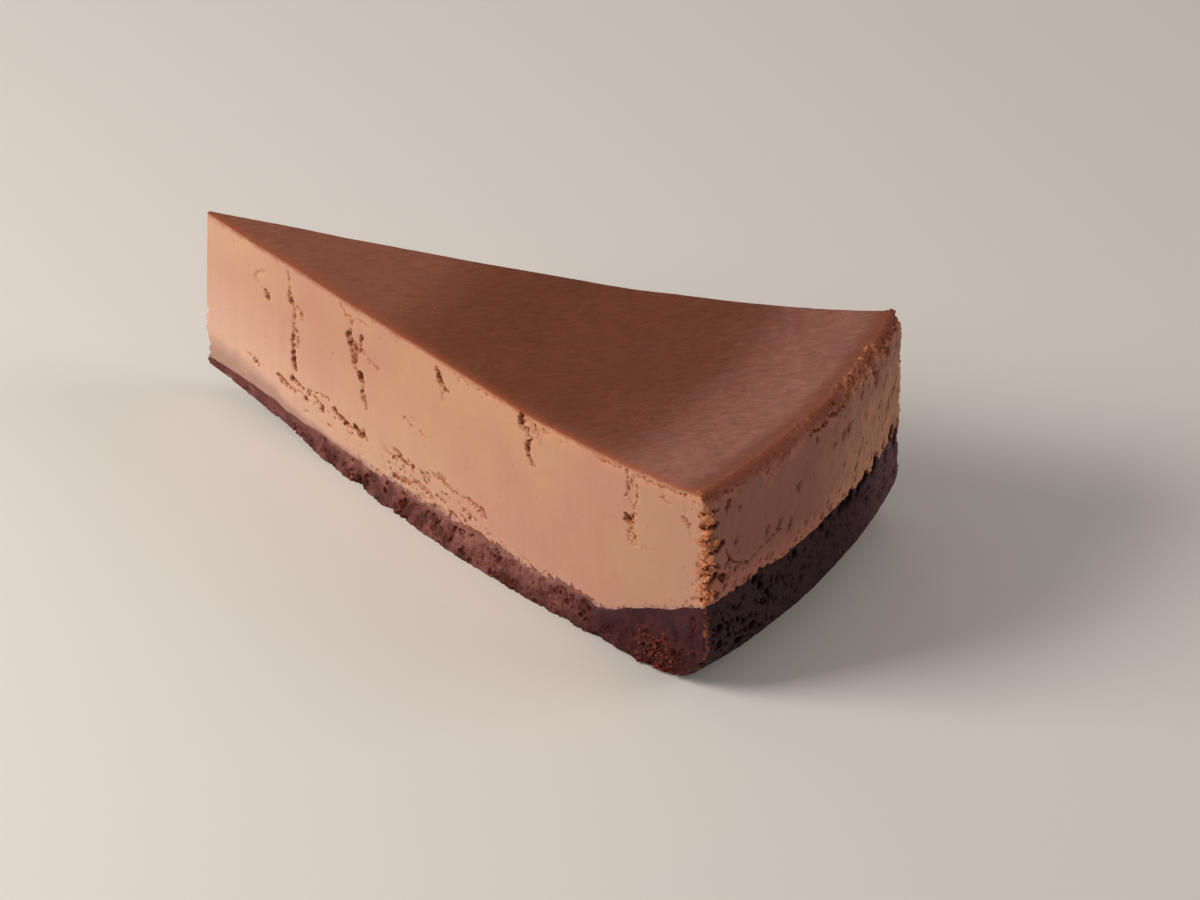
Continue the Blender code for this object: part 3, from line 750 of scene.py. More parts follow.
class Layer:
    """The fine mesh of one layer of the slice, between two height functions."""

    def __init__(self, bottom, top, rows, tearing):
        self.bottom = bottom
        self.top = top
        self.rows = rows
        self.tearing = tearing
        self.keys = []
        self.faces = []
        self.known = {}

    def vertex(self, u, v, w):
        """The number of the point at these coordinates, made when it is first asked for."""
        key = (round(u, 6), round(v, 6), round(w, 6))
        if key not in self.known:
            self.known[key] = len(self.keys)
            self.keys.append(key)
        return self.known[key]

    def stitch(self, low, high):
        """Triangles between two rows of (share along the row, vertex), whatever their counts."""
        i = j = 0
        while i < len(low) - 1 or j < len(high) - 1:
            next_low = low[i + 1][0] if i < len(low) - 1 else math.inf
            next_high = high[j + 1][0] if j < len(high) - 1 else math.inf
            if next_low <= next_high:
                self.faces.append((low[i][1], low[i + 1][1], high[j][1]))
                i += 1
            else:
                self.faces.append((low[i][1], high[j + 1][1], high[j][1]))
                j += 1

    def sheet(self, rows):
        """Triangles between each row and the next."""
        for low, high in zip(rows, rows[1:]):
            self.stitch(low, high)

    def along(self, v, w):
        """A row of points from tip to rim."""
        return [(i / STEPS_ALONG, self.vertex(i / STEPS_ALONG, v, w)) for i in range(STEPS_ALONG + 1)]

    def across(self, u, w, steps):
        """A row of points from the near cut to the far one."""
        return [(k / steps, self.vertex(u, 2 * k / steps - 1, w)) for k in range(steps + 1)]

    def shell(self, bottom_steps, top_steps):
        """The six sides of the layer, each facing out."""
        heights = [k / self.rows for k in range(self.rows + 1)]
        stations = [i / STEPS_ALONG for i in range(STEPS_ALONG + 1)]
        self.sheet([self.along(-1, w) for w in heights])
        self.sheet([self.along(1, w) for w in reversed(heights)])
        self.sheet([self.across(1, w, RIM_STEPS) for w in heights])
        self.sheet([self.across(0, w, TIP_STEPS) for w in reversed(heights)])
        self.sheet([self.across(u, 1, top_steps(u)) for u in reversed(stations)])
        self.sheet([self.across(u, 0, bottom_steps(u)) for u in stations])

    def solve(self):
        """Positions of all points, and what each is: its run, side and depth under the layer's top."""
        u, v, w = np.array(self.keys).T
        radius = radius_at(u)
        low = self.bottom(radius, v)
        z = low + w * (self.top(radius, v) - low)
        self.points, self.reach, self.torn = place(u, v, z, self.tearing)
        self.u, self.v, self.w, self.z, self.radius = u, v, w, z, radius
        self.side = np.where(v < 0, -1.0, 1.0)


def open_steps(cell):
    """Divisions across a face that shows, in cells of even size."""
    return lambda u: RIM_STEPS if u == 1 else max(TIP_STEPS, round(radius_at(u) * SLICE_ANGLE / cell))


def hidden_steps(u):
    """Divisions across a face between the layers: few, and more near the rim."""
    if u == 1:
        return RIM_STEPS
    return HIDDEN_STEPS + round((RIM_STEPS / 2 - HIDDEN_STEPS) * float(smooth((u - 0.8) / 0.2)))


def mesh_object(name, layer, marks):
    """A closed mesh object of a solved layer, with a number on each point for every mark."""
    mesh = bpy.data.meshes.new(name)
    mesh.from_pydata(layer.points, [], layer.faces)
    for mark, values in marks.items():
        mesh.attributes.new(mark, "FLOAT", "POINT").data.foreach_set("value", values.astype(np.float32))
    made = bpy.data.objects.new(name, mesh)
    bpy.context.scene.collection.objects.link(made)
    return made


def thin_out(made, most):
    """Drops triangles where the surface is flat, until few enough are left."""
    count = len(made.data.polygons)
    if count > most:
        thin = made.modifiers.new("Thin", "DECIMATE")
        thin.ratio = most / count
        settle(made)
    made.data.shade_smooth()
    made.data.set_sharp_from_angle(angle=SHARP_ANGLE)


def settle(made):
    """Turns what the modifiers make of an object into its plain mesh."""
    evaluated = made.evaluated_get(bpy.context.evaluated_depsgraph_get())
    old = made.data
    made.data = bpy.data.meshes.new_from_object(evaluated)
    made.modifiers.clear()
    made.data.name = made.name
    bpy.data.meshes.remove(old)


def filling_marks(layer):
    """What each point of the filling is, as numbers from 0 to 1 that its material reads."""
    v, z, reach = layer.v, layer.z, layer.reach
    top = top_height(layer.radius, v)
    below = np.maximum(top - z, 0)
    arc = v * layer.radius * HALF_ANGLE
    from_rim = (1 - layer.u) * CAKE_RADIUS
    on_wall = smooth(1.4 - from_rim / (0.5 * MM))
    on_cut = np.abs(v) > 0.9999
    on_top = layer.w > 0.9999
    ragged = bumps(reach, arc, z, 2.2 * MM, 71)
    skin_edge = (0.4 + 0.15 * ragged + (1.3 + 0.9 * ragged) * on_wall) * MM
    across = np.where(on_cut, CAKE_RADIUS + RIM_SWELL - reach, -(1 - np.abs(v)) * CAKE_RADIUS * HALF_ANGLE)
    by_corner = smooth((corner_width(layer.side, z) - np.abs(across)) / (0.5 * MM) + 0.4)
    by_corner = np.where(on_cut | (on_wall > 0), by_corner, 0) * np.where(layer.side < 0, 1.0, 0.4)
    lip = on_wall * lip_share(v, z, top)
    from_line = (z - crust_height(layer.radius, v)) / MM
    band_height = 5 + 3 * ragged + 7 * smooth((-v - 0.7) / 0.25) + 3 * smooth((v - 0.1) / 0.4)
    band = on_wall * smooth(1 - from_line / band_height) * smooth((0.96 - v) / 0.3)
    overhang = on_wall * smooth(1.5 - from_line / 2.4) * smooth((v - 0.05) / 0.3)
    cracks = by_corner * where_needed(by_corner > 0, corner_cracks, across, layer.side, z)
    cracks *= 1 - 0.35 * rise(z, 29, 4)
    cracks = np.maximum(cracks, 0.7 * lip * where_needed(lip > 0, lip_cracks, arc, z))
    pits = where_needed(on_wall > 0.5, wall_pits, arc, v, z, from_line)
    # Pores under the overhang, which the material fills with near-black painted shade
    notch_shade = overhang * where_needed(overhang > 0, wall_pores, arc, z, from_line)
    pits = np.maximum(pits, notch_shade)
    wall_cracks = where_needed(on_wall > 0.5, wall_tears, arc, z)
    from_cut = (1 - np.abs(v)) * layer.radius * HALF_ANGLE
    at_tip = smooth(1 - reach / (34 * MM))
    smear_height = 0.4 + 4.6 * at_tip + 0.4 * ragged
    low = smooth(1 - from_line / 24) * smooth(1.15 - reach / (95 * MM))
    rough_line = np.clip(0.6 + 1.5 * layered(reach, v, 0 * z, 5 * MM, 76, 2), 0, 1)
    rough_line *= fall(reach, 104, 8)
    rim_edge = (on_top | (on_wall > 0.5)) * smooth(1.5 - (from_rim + below) / (1.6 * MM))
    clumps = np.clip(0.1 + 2.0 * layered(arc, 0, 0 * arc, 6 * MM, 75, 2), 0, 1)
    rim_edge *= clumps * (0.2 + 0.8 * smooth((v + 0.4) / 0.5)) * (np.abs(v) < 0.95)
    sandy = smooth(1 - from_line / 4.5) * rise(reach, 52, 16)
    sandy *= fall(reach, 98, 12)
    edge_on_top = np.exp(-from_cut / (0.9 * MM)) * (v < 0)
    edge_on_cut = smooth(1.2 - below / (0.9 * MM)) * on_cut
    # A ring inside the rim where the skin is painted paler, as painted sheen
    ring = rise(reach, 97, 13)
    ring *= smooth((from_rim - 1.5 * MM - 1.4 * MM * smooth(-2 * v)) / (4.6 * MM))
    stain = np.clip(1 - from_line / 1.5, 0, 1) * rise(reach, 30, 20) * on_cut
    loose = by_corner * np.where(v < 0, 1.0, 0.08) + 0.2 * lip * smooth(v + 0.4) * (v < 0.93)
    loose += 0.3 * rim_edge * smooth(2 * v)
    return {
        "skin": np.maximum(smooth(1.5 - below / skin_edge), on_top),
        "wall": on_wall,
        # torn: how deep tears and pits go, which the material paints darker as painted shade
        "torn": np.clip(np.maximum(layer.torn / 2.2, np.maximum(pits, wall_cracks / 0.9)), 0, 1),
        # raised: the lip that a tear raises, which the material paints with a highlight
        "raised": np.clip(-layer.torn / 0.10, 0, 1) * on_cut,
        "notch_shade": np.clip(notch_shade, 0, 1),
        "crumbly": np.clip(np.maximum(by_corner, np.maximum(lip, 0.6 * band)), 0, 1),
        "cracks": np.clip(cracks, 0, 1),
        "strip": by_corner,
        "smear": smooth(1.35 - from_line / smear_height) * on_cut,
        "pale": np.clip(0.75 * low + 0.35 * at_tip, 0, 1) * on_cut,
        "brown": rise(reach, 85, 35) * on_cut,
        "under": smooth(1.2 - below / (2.4 * MM)) * rise(reach, 40, 30) * on_cut,
        "edge": np.where(on_top, edge_on_top, edge_on_cut),
        "rim_edge": rim_edge,
        "lip": np.maximum(on_top * smooth(1.1 - from_rim / (5.0 * MM)), on_wall),
        "ring": on_top * ring,
        # Towards the rim: a glossier skin, and stronger painted highlights on its ripples
        "gloss_and_painted_glint": on_top * rise(reach, 92, 14),
        # The skin at the tip, which the material paints lighter as painted light
        "tip": on_top * fall(reach, 55, 16),
        "sandy": sandy * on_cut,
        "stain": stain * (0.5 + 0.5 * rough_line),
        "far": on_wall * smooth((v + 0.25) / 0.75) * (0.3 + 0.7 * rise(below, 4, 7)),
        "loose": np.clip(loose, 0, 1),
    }


def corner_cracks(across, side, z):
    """1 in the crevices of a crumbled upright corner, which run down a little as they leave it."""
    uneven = 0.5 * MM * layered(across, side, z, 1.4 * MM, 42, 3)
    slope = np.where(across > 0, 0.85, 0.38)
    return 1 - lumps(across + uneven, side, z + slope * np.abs(across) - 2 * uneven, CORNER_LUMP, 33)


def lip_cracks(arc, z):
    """1 in the crevices of the crumbled lip."""
    uneven = 0.6 * MM * layered(arc, 0, z, 2 * MM, 43, 2)
    return 1 - lumps(arc + uneven, 0 * arc, z - uneven, LIP_LUMP, 28)


def wall_tears(arc, z):
    """Depth of the cracks in the wall, in TEAR_UNITs."""
    return tear_depth(WALL_TEARS, arc + CAKE_RADIUS * HALF_ANGLE, z)


def crust_marks(layer):
    """What each point of the crust is, as numbers from 0 to 1 that its material reads."""
    v, z, reach, side = layer.v, layer.z, layer.reach, layer.side
    depth = crust_height(layer.radius, v) - z
    arc = v * CAKE_RADIUS * HALF_ANGLE
    on_wall = smooth(1.4 - (1 - layer.u) * CAKE_RADIUS / (0.5 * MM))
    on_cut = np.abs(v) > 0.9999
    foot = smooth(1 - (z - under_height(layer.radius, v)) / (2.0 * MM))
    heap = where_needed(on_cut, crumb_heap, reach, side, z)
    smeared = on_cut * smear_share(reach, side, z, depth) * (1 - heap)
    # Pores and cavities in the cut, which the material fills with painted shade
    pores = where_needed(on_cut, crust_pores, reach, side, z)
    pores = np.maximum(pores, 1.3 * where_needed(on_cut, crust_cavities, reach, side, z))
    pores *= (1 - heap) * (1 - 0.95 * smeared)
    pores = np.maximum(pores, where_needed(on_wall > 0.5, wall_pores, arc, z, -depth / MM))
    across = np.where(on_cut, CAKE_RADIUS + RIM_SWELL - reach, (1 - np.abs(v)) * CAKE_RADIUS * HALF_ANGLE)
    edge = smooth((0.45 * corner_width(side, z) - across) / (0.4 * MM) + 0.4) * (on_cut | (on_wall > 0.5))
    veil_height = np.clip(0.8 + 1.4 * layered(reach, side, z, 3 * MM, 74, 3), 0.05, 1.6)
    veil_height *= (0.4 + 0.7 * rise(reach, 22, 14)) * MM
    shaded = np.maximum(rise(reach, 86, 14), 0.42 * smooth(1.4 - z / (2.6 * MM)))
    crimson = smooth(1.2 - z / (2.2 * MM)) * rise(reach, 109, 5)
    return {
        "wall": on_wall,
        "smeared": smeared,
        "veil": on_cut * smooth(1.1 - depth / veil_height) * fall(reach, 112, 16),
        "tip": smooth(1 - reach / (40 * MM)),
        "pores": np.clip(pores * 1.2, 0, 1),
        # Crevices between the crust's grains, which the material fills with painted shade
        "cracks": where_needed(on_cut, grain_cracks, reach, side, z),
        "hot": heap,
        "edge": edge * (side < 0),
        "crimson": crimson * on_cut * (side < 0),
        "outer": rise(reach, 55, 50),
        "shaded": shaded * on_cut,
        # Towards the far cut, where the crust's wall is painted lighter as painted light
        "far": on_wall * smooth((v - 0.15) / 0.8),
        "loose": np.clip(0.05 * foot * on_cut * (side < 0) + 0.9 * heap + 0.5 * edge * (side < 0), 0, 1),
    }


def grain_cracks(along, side, z):
    """1 in the crevices between the crust's grains."""
    return 1 - lumps(along, side, z, CRUST_GRAIN_SIZE, 11)


class NodeTree:
    """A tree of nodes that is built with one call for each node."""

    def __init__(self, tree):
        self.tree = tree

    def join(self, value, socket):
        """Links a socket to an input, or sets a plain value on it."""
        if isinstance(value, bpy.types.NodeSocket):
            self.tree.links.new(value, socket)
        else:
            socket.default_value = value

    def add(self, kind, takes=(), **settings):
        """The outputs of a new node with these settings, which takes sockets or values in by their names."""
        node = self.tree.nodes.new(kind)
        for key, value in settings.items():
            setattr(node, key, value)
        for key, value in dict(takes).items():
            self.join(value, node.inputs[key])
        return node.outputs


class Finish(NodeTree):
    """A material built from nodes, with short calls for what its colours and bumps are mixed from."""

    def __init__(self, name):
        self.material = bpy.data.materials.new(name)
        self.material.use_nodes = True
        super().__init__(self.material.node_tree)
        self.shader = self.tree.nodes["Principled BSDF"].inputs
        self.place = self.add("ShaderNodeTexCoord")["Object"]

    def mark(self, name):
        """What filling_marks, crust_marks or the strewn crumbs stored on each point."""
        return self.add("ShaderNodeAttribute", attribute_name=name)["Fac"]

    def stretched(self, scale, turn=(0, 0, 0)):
        """Places turned and then scaled, so that patterns on them are drawn out."""
        turned = self.add("ShaderNodeMapping", {"Rotation": turn, "Vector": self.place})["Vector"]
        return self.add("ShaderNodeMapping", {"Scale": scale, "Vector": turned})["Vector"]

    def noise(self, size, detail=2.0, roughness=0.5, vector=None):
        """Noise from 0 to 1 whose bumps have the given size in metres."""
        takes = {"Scale": 1 / size, "Detail": detail, "Roughness": roughness}
        return self.add("ShaderNodeTexNoise", {**takes, "Vector": vector or self.place})["Fac"]

    def specks(self, size, reach, softness):
        """1 in small round specks scattered at the given spacing, 0 between them."""
        away = self.add("ShaderNodeTexVoronoi", {"Scale": 1 / size, "Vector": self.place})["Distance"]
        return self.remap(away, reach + softness, reach, 0, 1)

    def remap(self, value, low, high, start, end):
        """Takes low to start and high to end, and stays there past them."""
        ends = {"From Min": low, "From Max": high, "To Min": start, "To Max": end}
        return self.add("ShaderNodeMapRange", {**ends, "Value": value})["Result"]

    def times(self, first, second):
        """Two values multiplied."""
        return self.add("ShaderNodeMath", {0: first, 1: second}, operation="MULTIPLY")["Value"]

    def plus(self, first, second):
        """Two values added."""
        return self.add("ShaderNodeMath", {0: first, 1: second}, operation="ADD")["Value"]

    def mix(self, share_of_second, first, second, blend="MIX"):
        """Two colours mixed, or the second multiplied in."""
        takes = {"Factor": share_of_second, "A": colour4(first), "B": colour4(second)}
        return self.add("ShaderNodeMix", takes, data_type="RGBA", blend_type=blend)["Result"]

    def coat(self, colour, *coats):
        """A colour with coats laid over it in order, each a share and the tone that it brings."""
        for share_of_coat, tone in coats:
            colour = self.mix(share_of_coat, colour, tone)
        return colour

    def bump(self, height, distance, below=None):
        """Small relief from a pattern, on top of other relief."""
        takes = {"Distance": distance, "Height": height}
        if below:
            takes["Normal"] = below
        return self.add("ShaderNodeBump", takes)["Normal"]

    def soften(self, weight, reach):
        """Lets light a little way into the food."""
        self.join(weight, self.shader["Subsurface Weight"])
        self.join(reach, self.shader["Subsurface Scale"])
        self.join(LIGHT_REACHES, self.shader["Subsurface Radius"])

    def shine(self, level, tint=(1.0, 1.0, 1.0, 1.0)):
        """How strongly light glances off, and in which tint."""
        self.join(level, self.shader["Specular IOR Level"])
        self.join(tint, self.shader["Specular Tint"])

    def done(self, colour, roughness, normal):
        """The material, once all three are joined to its shader."""
        self.join(colour, self.shader["Base Color"])
        self.join(roughness, self.shader["Roughness"])
        self.join(normal, self.shader["Normal"])
        return self.material


def colour4(value):
    """A colour as the four numbers that a socket takes."""
    if isinstance(value, bpy.types.NodeSocket):
        return value
    return (*value, 1.0)


def darker(colour, factor):
    """A colour with every channel multiplied, brighter when the factor is above 1."""
    return tuple(channel * factor for channel in colour)


def grey(value):
    """A plain value where a mix takes a colour."""
    return (value, value, value)


def filling_finish(colours):
    """Cut chocolate filling with a darker baked skin, a browned wall and rough torn places."""
    finish = Finish("chocolate_filling")
    mark, mix, coat, remap, noise = finish.mark, finish.mix, finish.coat, finish.remap, finish.noise
    times, plus, specks = finish.times, finish.plus, finish.specks
    cut, skin, crumb = colours.cut, colours.skin, colours.crumb
    wall, wall_tan = colours.wall, colours.wall_tan
    cloud = noise(20 * MM, 2)
    blotch = noise(6 * MM, 3)
    drag = noise(1 * MM, 2, vector=finish.stretched((1, 1, 0.06)))
    fine = noise(0.7 * MM, 4, 0.6)
    stipple = noise(0.45 * MM, 3, 0.6)
    slant = noise(1.2 * MM, 4, 0.6, finish.stretched((1, 1, 0.38), (WALL_SLANT, 0, 0)))
    ripple = noise(0.95 * MM, 4, 0.6, finish.stretched((0.38, 1, 1), (0, 0, RIPPLE_TURN)))

    # The cut: clouds of rosier and yellower filling, smeared over the crust and sandy above it
    face = coat(
        mix(remap(cloud, 0.42, 0.58, 0, 1), colours.cut_tan, colours.cut_rosy),
        (remap(blotch, 0.35, 0.65, 0, 0.5), cut),
        (times(mark("brown"), 0.8), darker(cut, 0.86)),
        (mark("pale"), colours.cut_pale),
        (remap(drag, 0.35, 0.7, 0, 0.10), darker(cut, 0.78)),
        (remap(fine, 0.55, 0.75, 0, 0.2), darker(cut, 1.25)),
        (times(mark("smear"), remap(blotch, 0.3, 0.6, 0.7, 1)), colours.smear),
        (times(mark("under"), remap(fine, 0.4, 0.6, 0.1, 0.6)), mix(0.5, cut, darker(crumb, 1.4))),
        (times(mark("sandy"), remap(stipple, 0.46, 0.64, 0, 0.45)), SAND),
    )

    # The wall: browned with slanting streaks, yellower and specked in its far part
    far_side = coat(
        mix(remap(slant, 0.4, 0.65, 0, 1), darker(wall_tan, 0.7), wall_tan),
        (times(specks(1.5 * MM, 0.09, 0.10), 0.55), WALL_SPECK),
        (remap(fine, 0.56, 0.70, 0, 0.35), WALL_GRAIN),
        (remap(stipple, 0.40, 0.30, 0, 0.45), darker(wall_tan, 0.35)),
    )
    side = coat(
        mix(remap(blotch, 0.35, 0.7, 0, 0.6), wall, darker(wall, 0.8)),
        (remap(slant, 0.4, 0.7, 0, 0.4), darker(wall, 1.3)),
        (times(mark("far"), 0.8), far_side),
    )

    # Broken edges, the stain above the crust, and painted shade in the crevices between crumbs
    broken = coat(
        mix(remap(mark("far"), 0.1, 0.5, 0, 1), LIP_NEAR, LIP_FAR),
        (mark("strip"), darker(crumb, 1.6)),
    )
    crumbly = times(mark("crumbly"), remap(fine, 0.35, 0.6, 0.35, 1))
    stain = plus(mark("stain"), remap(noise(1.1 * MM, 4, 0.7), 0.3, 0.7, -0.6, 0.6))
    stained = mix(remap(fine, 0.45, 0.55, 0, 1), darker(colours.torn, 0.9), colours.crust_smear)
    face = coat(
        face,
        (mark("wall"), side),
        (crumbly, mix(mark("wall"), darker(crumb, 1.15), broken)),
        (remap(stain, 0.50, 0.66, 0, 0.85), stained),
        (remap(mark("cracks"), 0.50, 0.95, 0, 0.75), CREVICE_SHADE),
    )

    # Tears, painted darker from their edge to their floor as painted shade, then a painted highlight on the
    # lip that they raise and painted shade in the notches over the crust
    torn = mark("torn")
    torn = plus(torn, times(remap(torn, 0.01, 0.10, 0, 1), remap(stipple, 0.3, 0.7, -0.28, 0.28)))
    shallow_shade = mix(mark("wall"), colours.shallow_tear_shade, darker(colours.shallow_tear_shade, 0.4))
    face = coat(
        face,
        (remap(torn, 0.02, 0.15, 0, 0.5), mix(mark("wall"), TORN_EDGE, darker(wall, 0.8))),
        (remap(torn, 0.12, 0.36, 0, 0.8), shallow_shade),
        (remap(torn, 0.34, 0.80, 0, 0.95), mix(mark("wall"), colours.torn, TORN_WALL_SHADE)),
        (times(mark("raised"), 0.8), TORN_LIP_HIGHLIGHT),
        (remap(mark("notch_shade"), 0.05, 0.25, 0, 0.95), NOTCH_SHADE),
    )

    # The baked skin: paler at the tip by painted light, with a ring of painted sheen inside the rim
    # and painted highlights and shade on its ripples
    # Painted highlights on the ripples, stronger towards the rim
    glint = times(remap(ripple, 0.47, 0.36, 0, 1), remap(mark("gloss_and_painted_glint"), 0, 1, 0.35, 1))
    pale_specks = times(specks(1.7 * MM, 0.08, 0.07), remap(cloud, 0.4, 0.6, 0.08, 0.42))
    rosy = mix(remap(mark("far"), 0.1, 0.3, 0, 1), RIM_NEAR, RIM_FAR)
    top = coat(
        mix(remap(cloud, 0.35, 0.65, 0, 0.5), skin, darker(skin, 1.18)),
        (remap(noise(2.2 * MM, 4, 0.6), 0.4, 0.7, 0, 0.30), darker(skin, 0.78)),
        (mark("tip"), [channel * factor for channel, factor in zip(skin, SKIN_TIP_PAINTED_LIGHT)]),
        (times(mark("ring"), 0.85), colours.ring),
    )
    # Painted shade on the ripples
    top = mix(remap(ripple, 0.52, 0.66, 0, 0.45), top, RIPPLE_PAINTED_SHADE, blend="MULTIPLY")
    top = coat(
        mix(glint, top, RIPPLE_PAINTED_HIGHLIGHT, blend="MULTIPLY"),
        (times(mark("lip"), 0.85), colours.lip),
        (times(mark("rim_edge"), remap(fine, 0.45, 0.6, 0, 0.8)), rosy),
        (pale_specks, SKIN_SPECK),
        (times(mark("edge"), 0.9), colours.edge),
    )
    face = mix(mark("skin"), face, top)

    dull = remap(noise(3 * MM, 3), 0.3, 0.7, 0.27, 0.35)
    shiny = times(mark("skin"), remap(mark("lip"), 0, 1, 1, 0.25))
    shiny = times(shiny, remap(mark("gloss_and_painted_glint"), 0, 1, 0.55, 1))
    small = finish.bump(plus(fine, times(drag, 0.5)), 0.05 * MM)
    wrinkle = times(ripple, times(mark("skin"), remap(blotch, 0.35, 0.6, 0.5, 1)))
    finish.soften(0.15, 1.2 * MM)
    finish.shine(0.30, WARM_TINT)
    return finish.done(face, mix(shiny, grey(ROUGH_CUT), dull), finish.bump(wrinkle, 0.26 * MM, small))


def crust_finish(colours):
    """Pressed cocoa crumb: a smoother smear under the filling, speckled and dark below."""
    finish = Finish("crumb_crust")
    mark, mix, coat, remap, noise = finish.mark, finish.mix, finish.coat, finish.remap, finish.noise
    times, plus, specks = finish.times, finish.plus, finish.specks
    crust, hot, dragged = colours.crust, colours.crust_crumb, colours.crust_smear
    near_wall, dark = colours.crust_wall, colours.crust_dark_and_shade
    grit = noise(0.8 * MM, 4, 0.65)
    clump = noise(3.2 * MM, 3)
    speckle = noise(0.7 * MM, 4, 0.7)

    # The cut: mottled crumb with single bright crumbs under the smear that the knife drew over it, then
    # dark specks, painted shade in the crevices, the veil of filling and the heap of crumbs
    smear = coat(
        mix(mark("outer"), dragged, darker(dragged, 0.5)),
        (remap(clump, 0.35, 0.65, 0, 0.5), darker(crust, 1.1)),
        (mark("tip"), CRUST_TIP),
    )
    crowded = remap(noise(4.0 * MM, 3, 0.6), 0.42, 0.56, 0.15, 1)
    speckled = times(remap(speckle, 0.44, 0.60, 0, 1), crowded)
    veil = plus(mark("veil"), remap(grit, 0.3, 0.7, -0.35, 0.35))
    heap = mix(remap(noise(0.7 * MM, 3, 0.6), 0.47, 0.55, 0, 1), darker(hot, 0.35), HEAP_BRIGHT)
    body = coat(
        mix(remap(clump, 0.37, 0.63, 0, 1), darker(crust, 0.58), darker(crust, 1.8)),
        (times(specks(1.3 * MM, 0.10, 0.15), 0.5), darker(dragged, 1.5)),
        (times(specks(3.6 * MM, 0.07, 0.06), 0.8), darker(hot, 2.6)),
        (times(mark("outer"), 0.5), darker(crust, 0.6)),
        (times(mark("smeared"), 0.85), smear),
        (times(speckled, remap(mark("smeared"), 0, 1, 0.9, 0.2)), dark),
        (times(mark("cracks"), remap(mark("smeared"), 0, 1, 0.30, 0.03)), dark),
        (remap(veil, 0.35, 1.05, 0, 0.75), colours.veil),
        (times(mark("hot"), remap(grit, 0.36, 0.50, 0.3, 0.95)), heap),
    )

    # The wall, painted lighter towards the far cut as painted light, then the broken near corner and painted
    # shade in the pores
    wall = coat(
        mix(mark("far"), near_wall, darker(near_wall, 3.4)),
        (remap(grit, 0.35, 0.6, 0.6, 0), darker(near_wall, 0.5)),
        (remap(speckle, 0.60, 0.72, 0, 0.6), darker(near_wall, 2.6)),
    )
    # Painted shade in the pores: near black in the wall, dark on the cut
    pore_shade = times(remap(mark("pores"), 0.05, 0.40, 0, 1), remap(mark("wall"), 0, 1, 0.86, 0.97))
    body = coat(
        mix(mark("shaded"), body, CRUST_SHADE, blend="MULTIPLY"),
        (times(mark("crimson"), remap(grit, 0.40, 0.52, 0.1, 0.9)), CRUST_CRIMSON),
        (mark("wall"), wall),
        (times(mark("edge"), remap(grit, 0.44, 0.56, 0, 0.8)), CRUST_EDGE),
        (pore_shade, mix(mark("wall"), darker(dark, 0.6), darker(dark, 0.08))),
    )
    rough = mix(mark("smeared"), grey(ROUGH_CRUST), grey(ROUGH_SMEAR))
    finish.soften(0.05, 0.6 * MM)
    finish.shine(0.10)
    return finish.done(body, rough, finish.bump(grit, 0.18 * MM))


def crumb_finish(name, colour, bright):
    """Loose crumbs, each with its own tone between dark and bright."""
    finish = Finish(name)
    tone = finish.mark("tone")
    body = finish.coat(
        finish.mix(finish.remap(tone, 0, 0.5, 0, 1), darker(colour, 0.35), colour),
        (finish.remap(tone, 0.55, 1.0, 0, 1), bright),
        (finish.remap(finish.noise(0.35 * MM, 3), 0.35, 0.65, 0, 0.5), darker(colour, 0.5)),
    )
    finish.soften(0.08, 0.6 * MM)
    finish.shine(0.25)
    return finish.done(body, ROUGH_CRUMB, finish.bump(finish.noise(0.3 * MM, 3), 0.10 * MM))


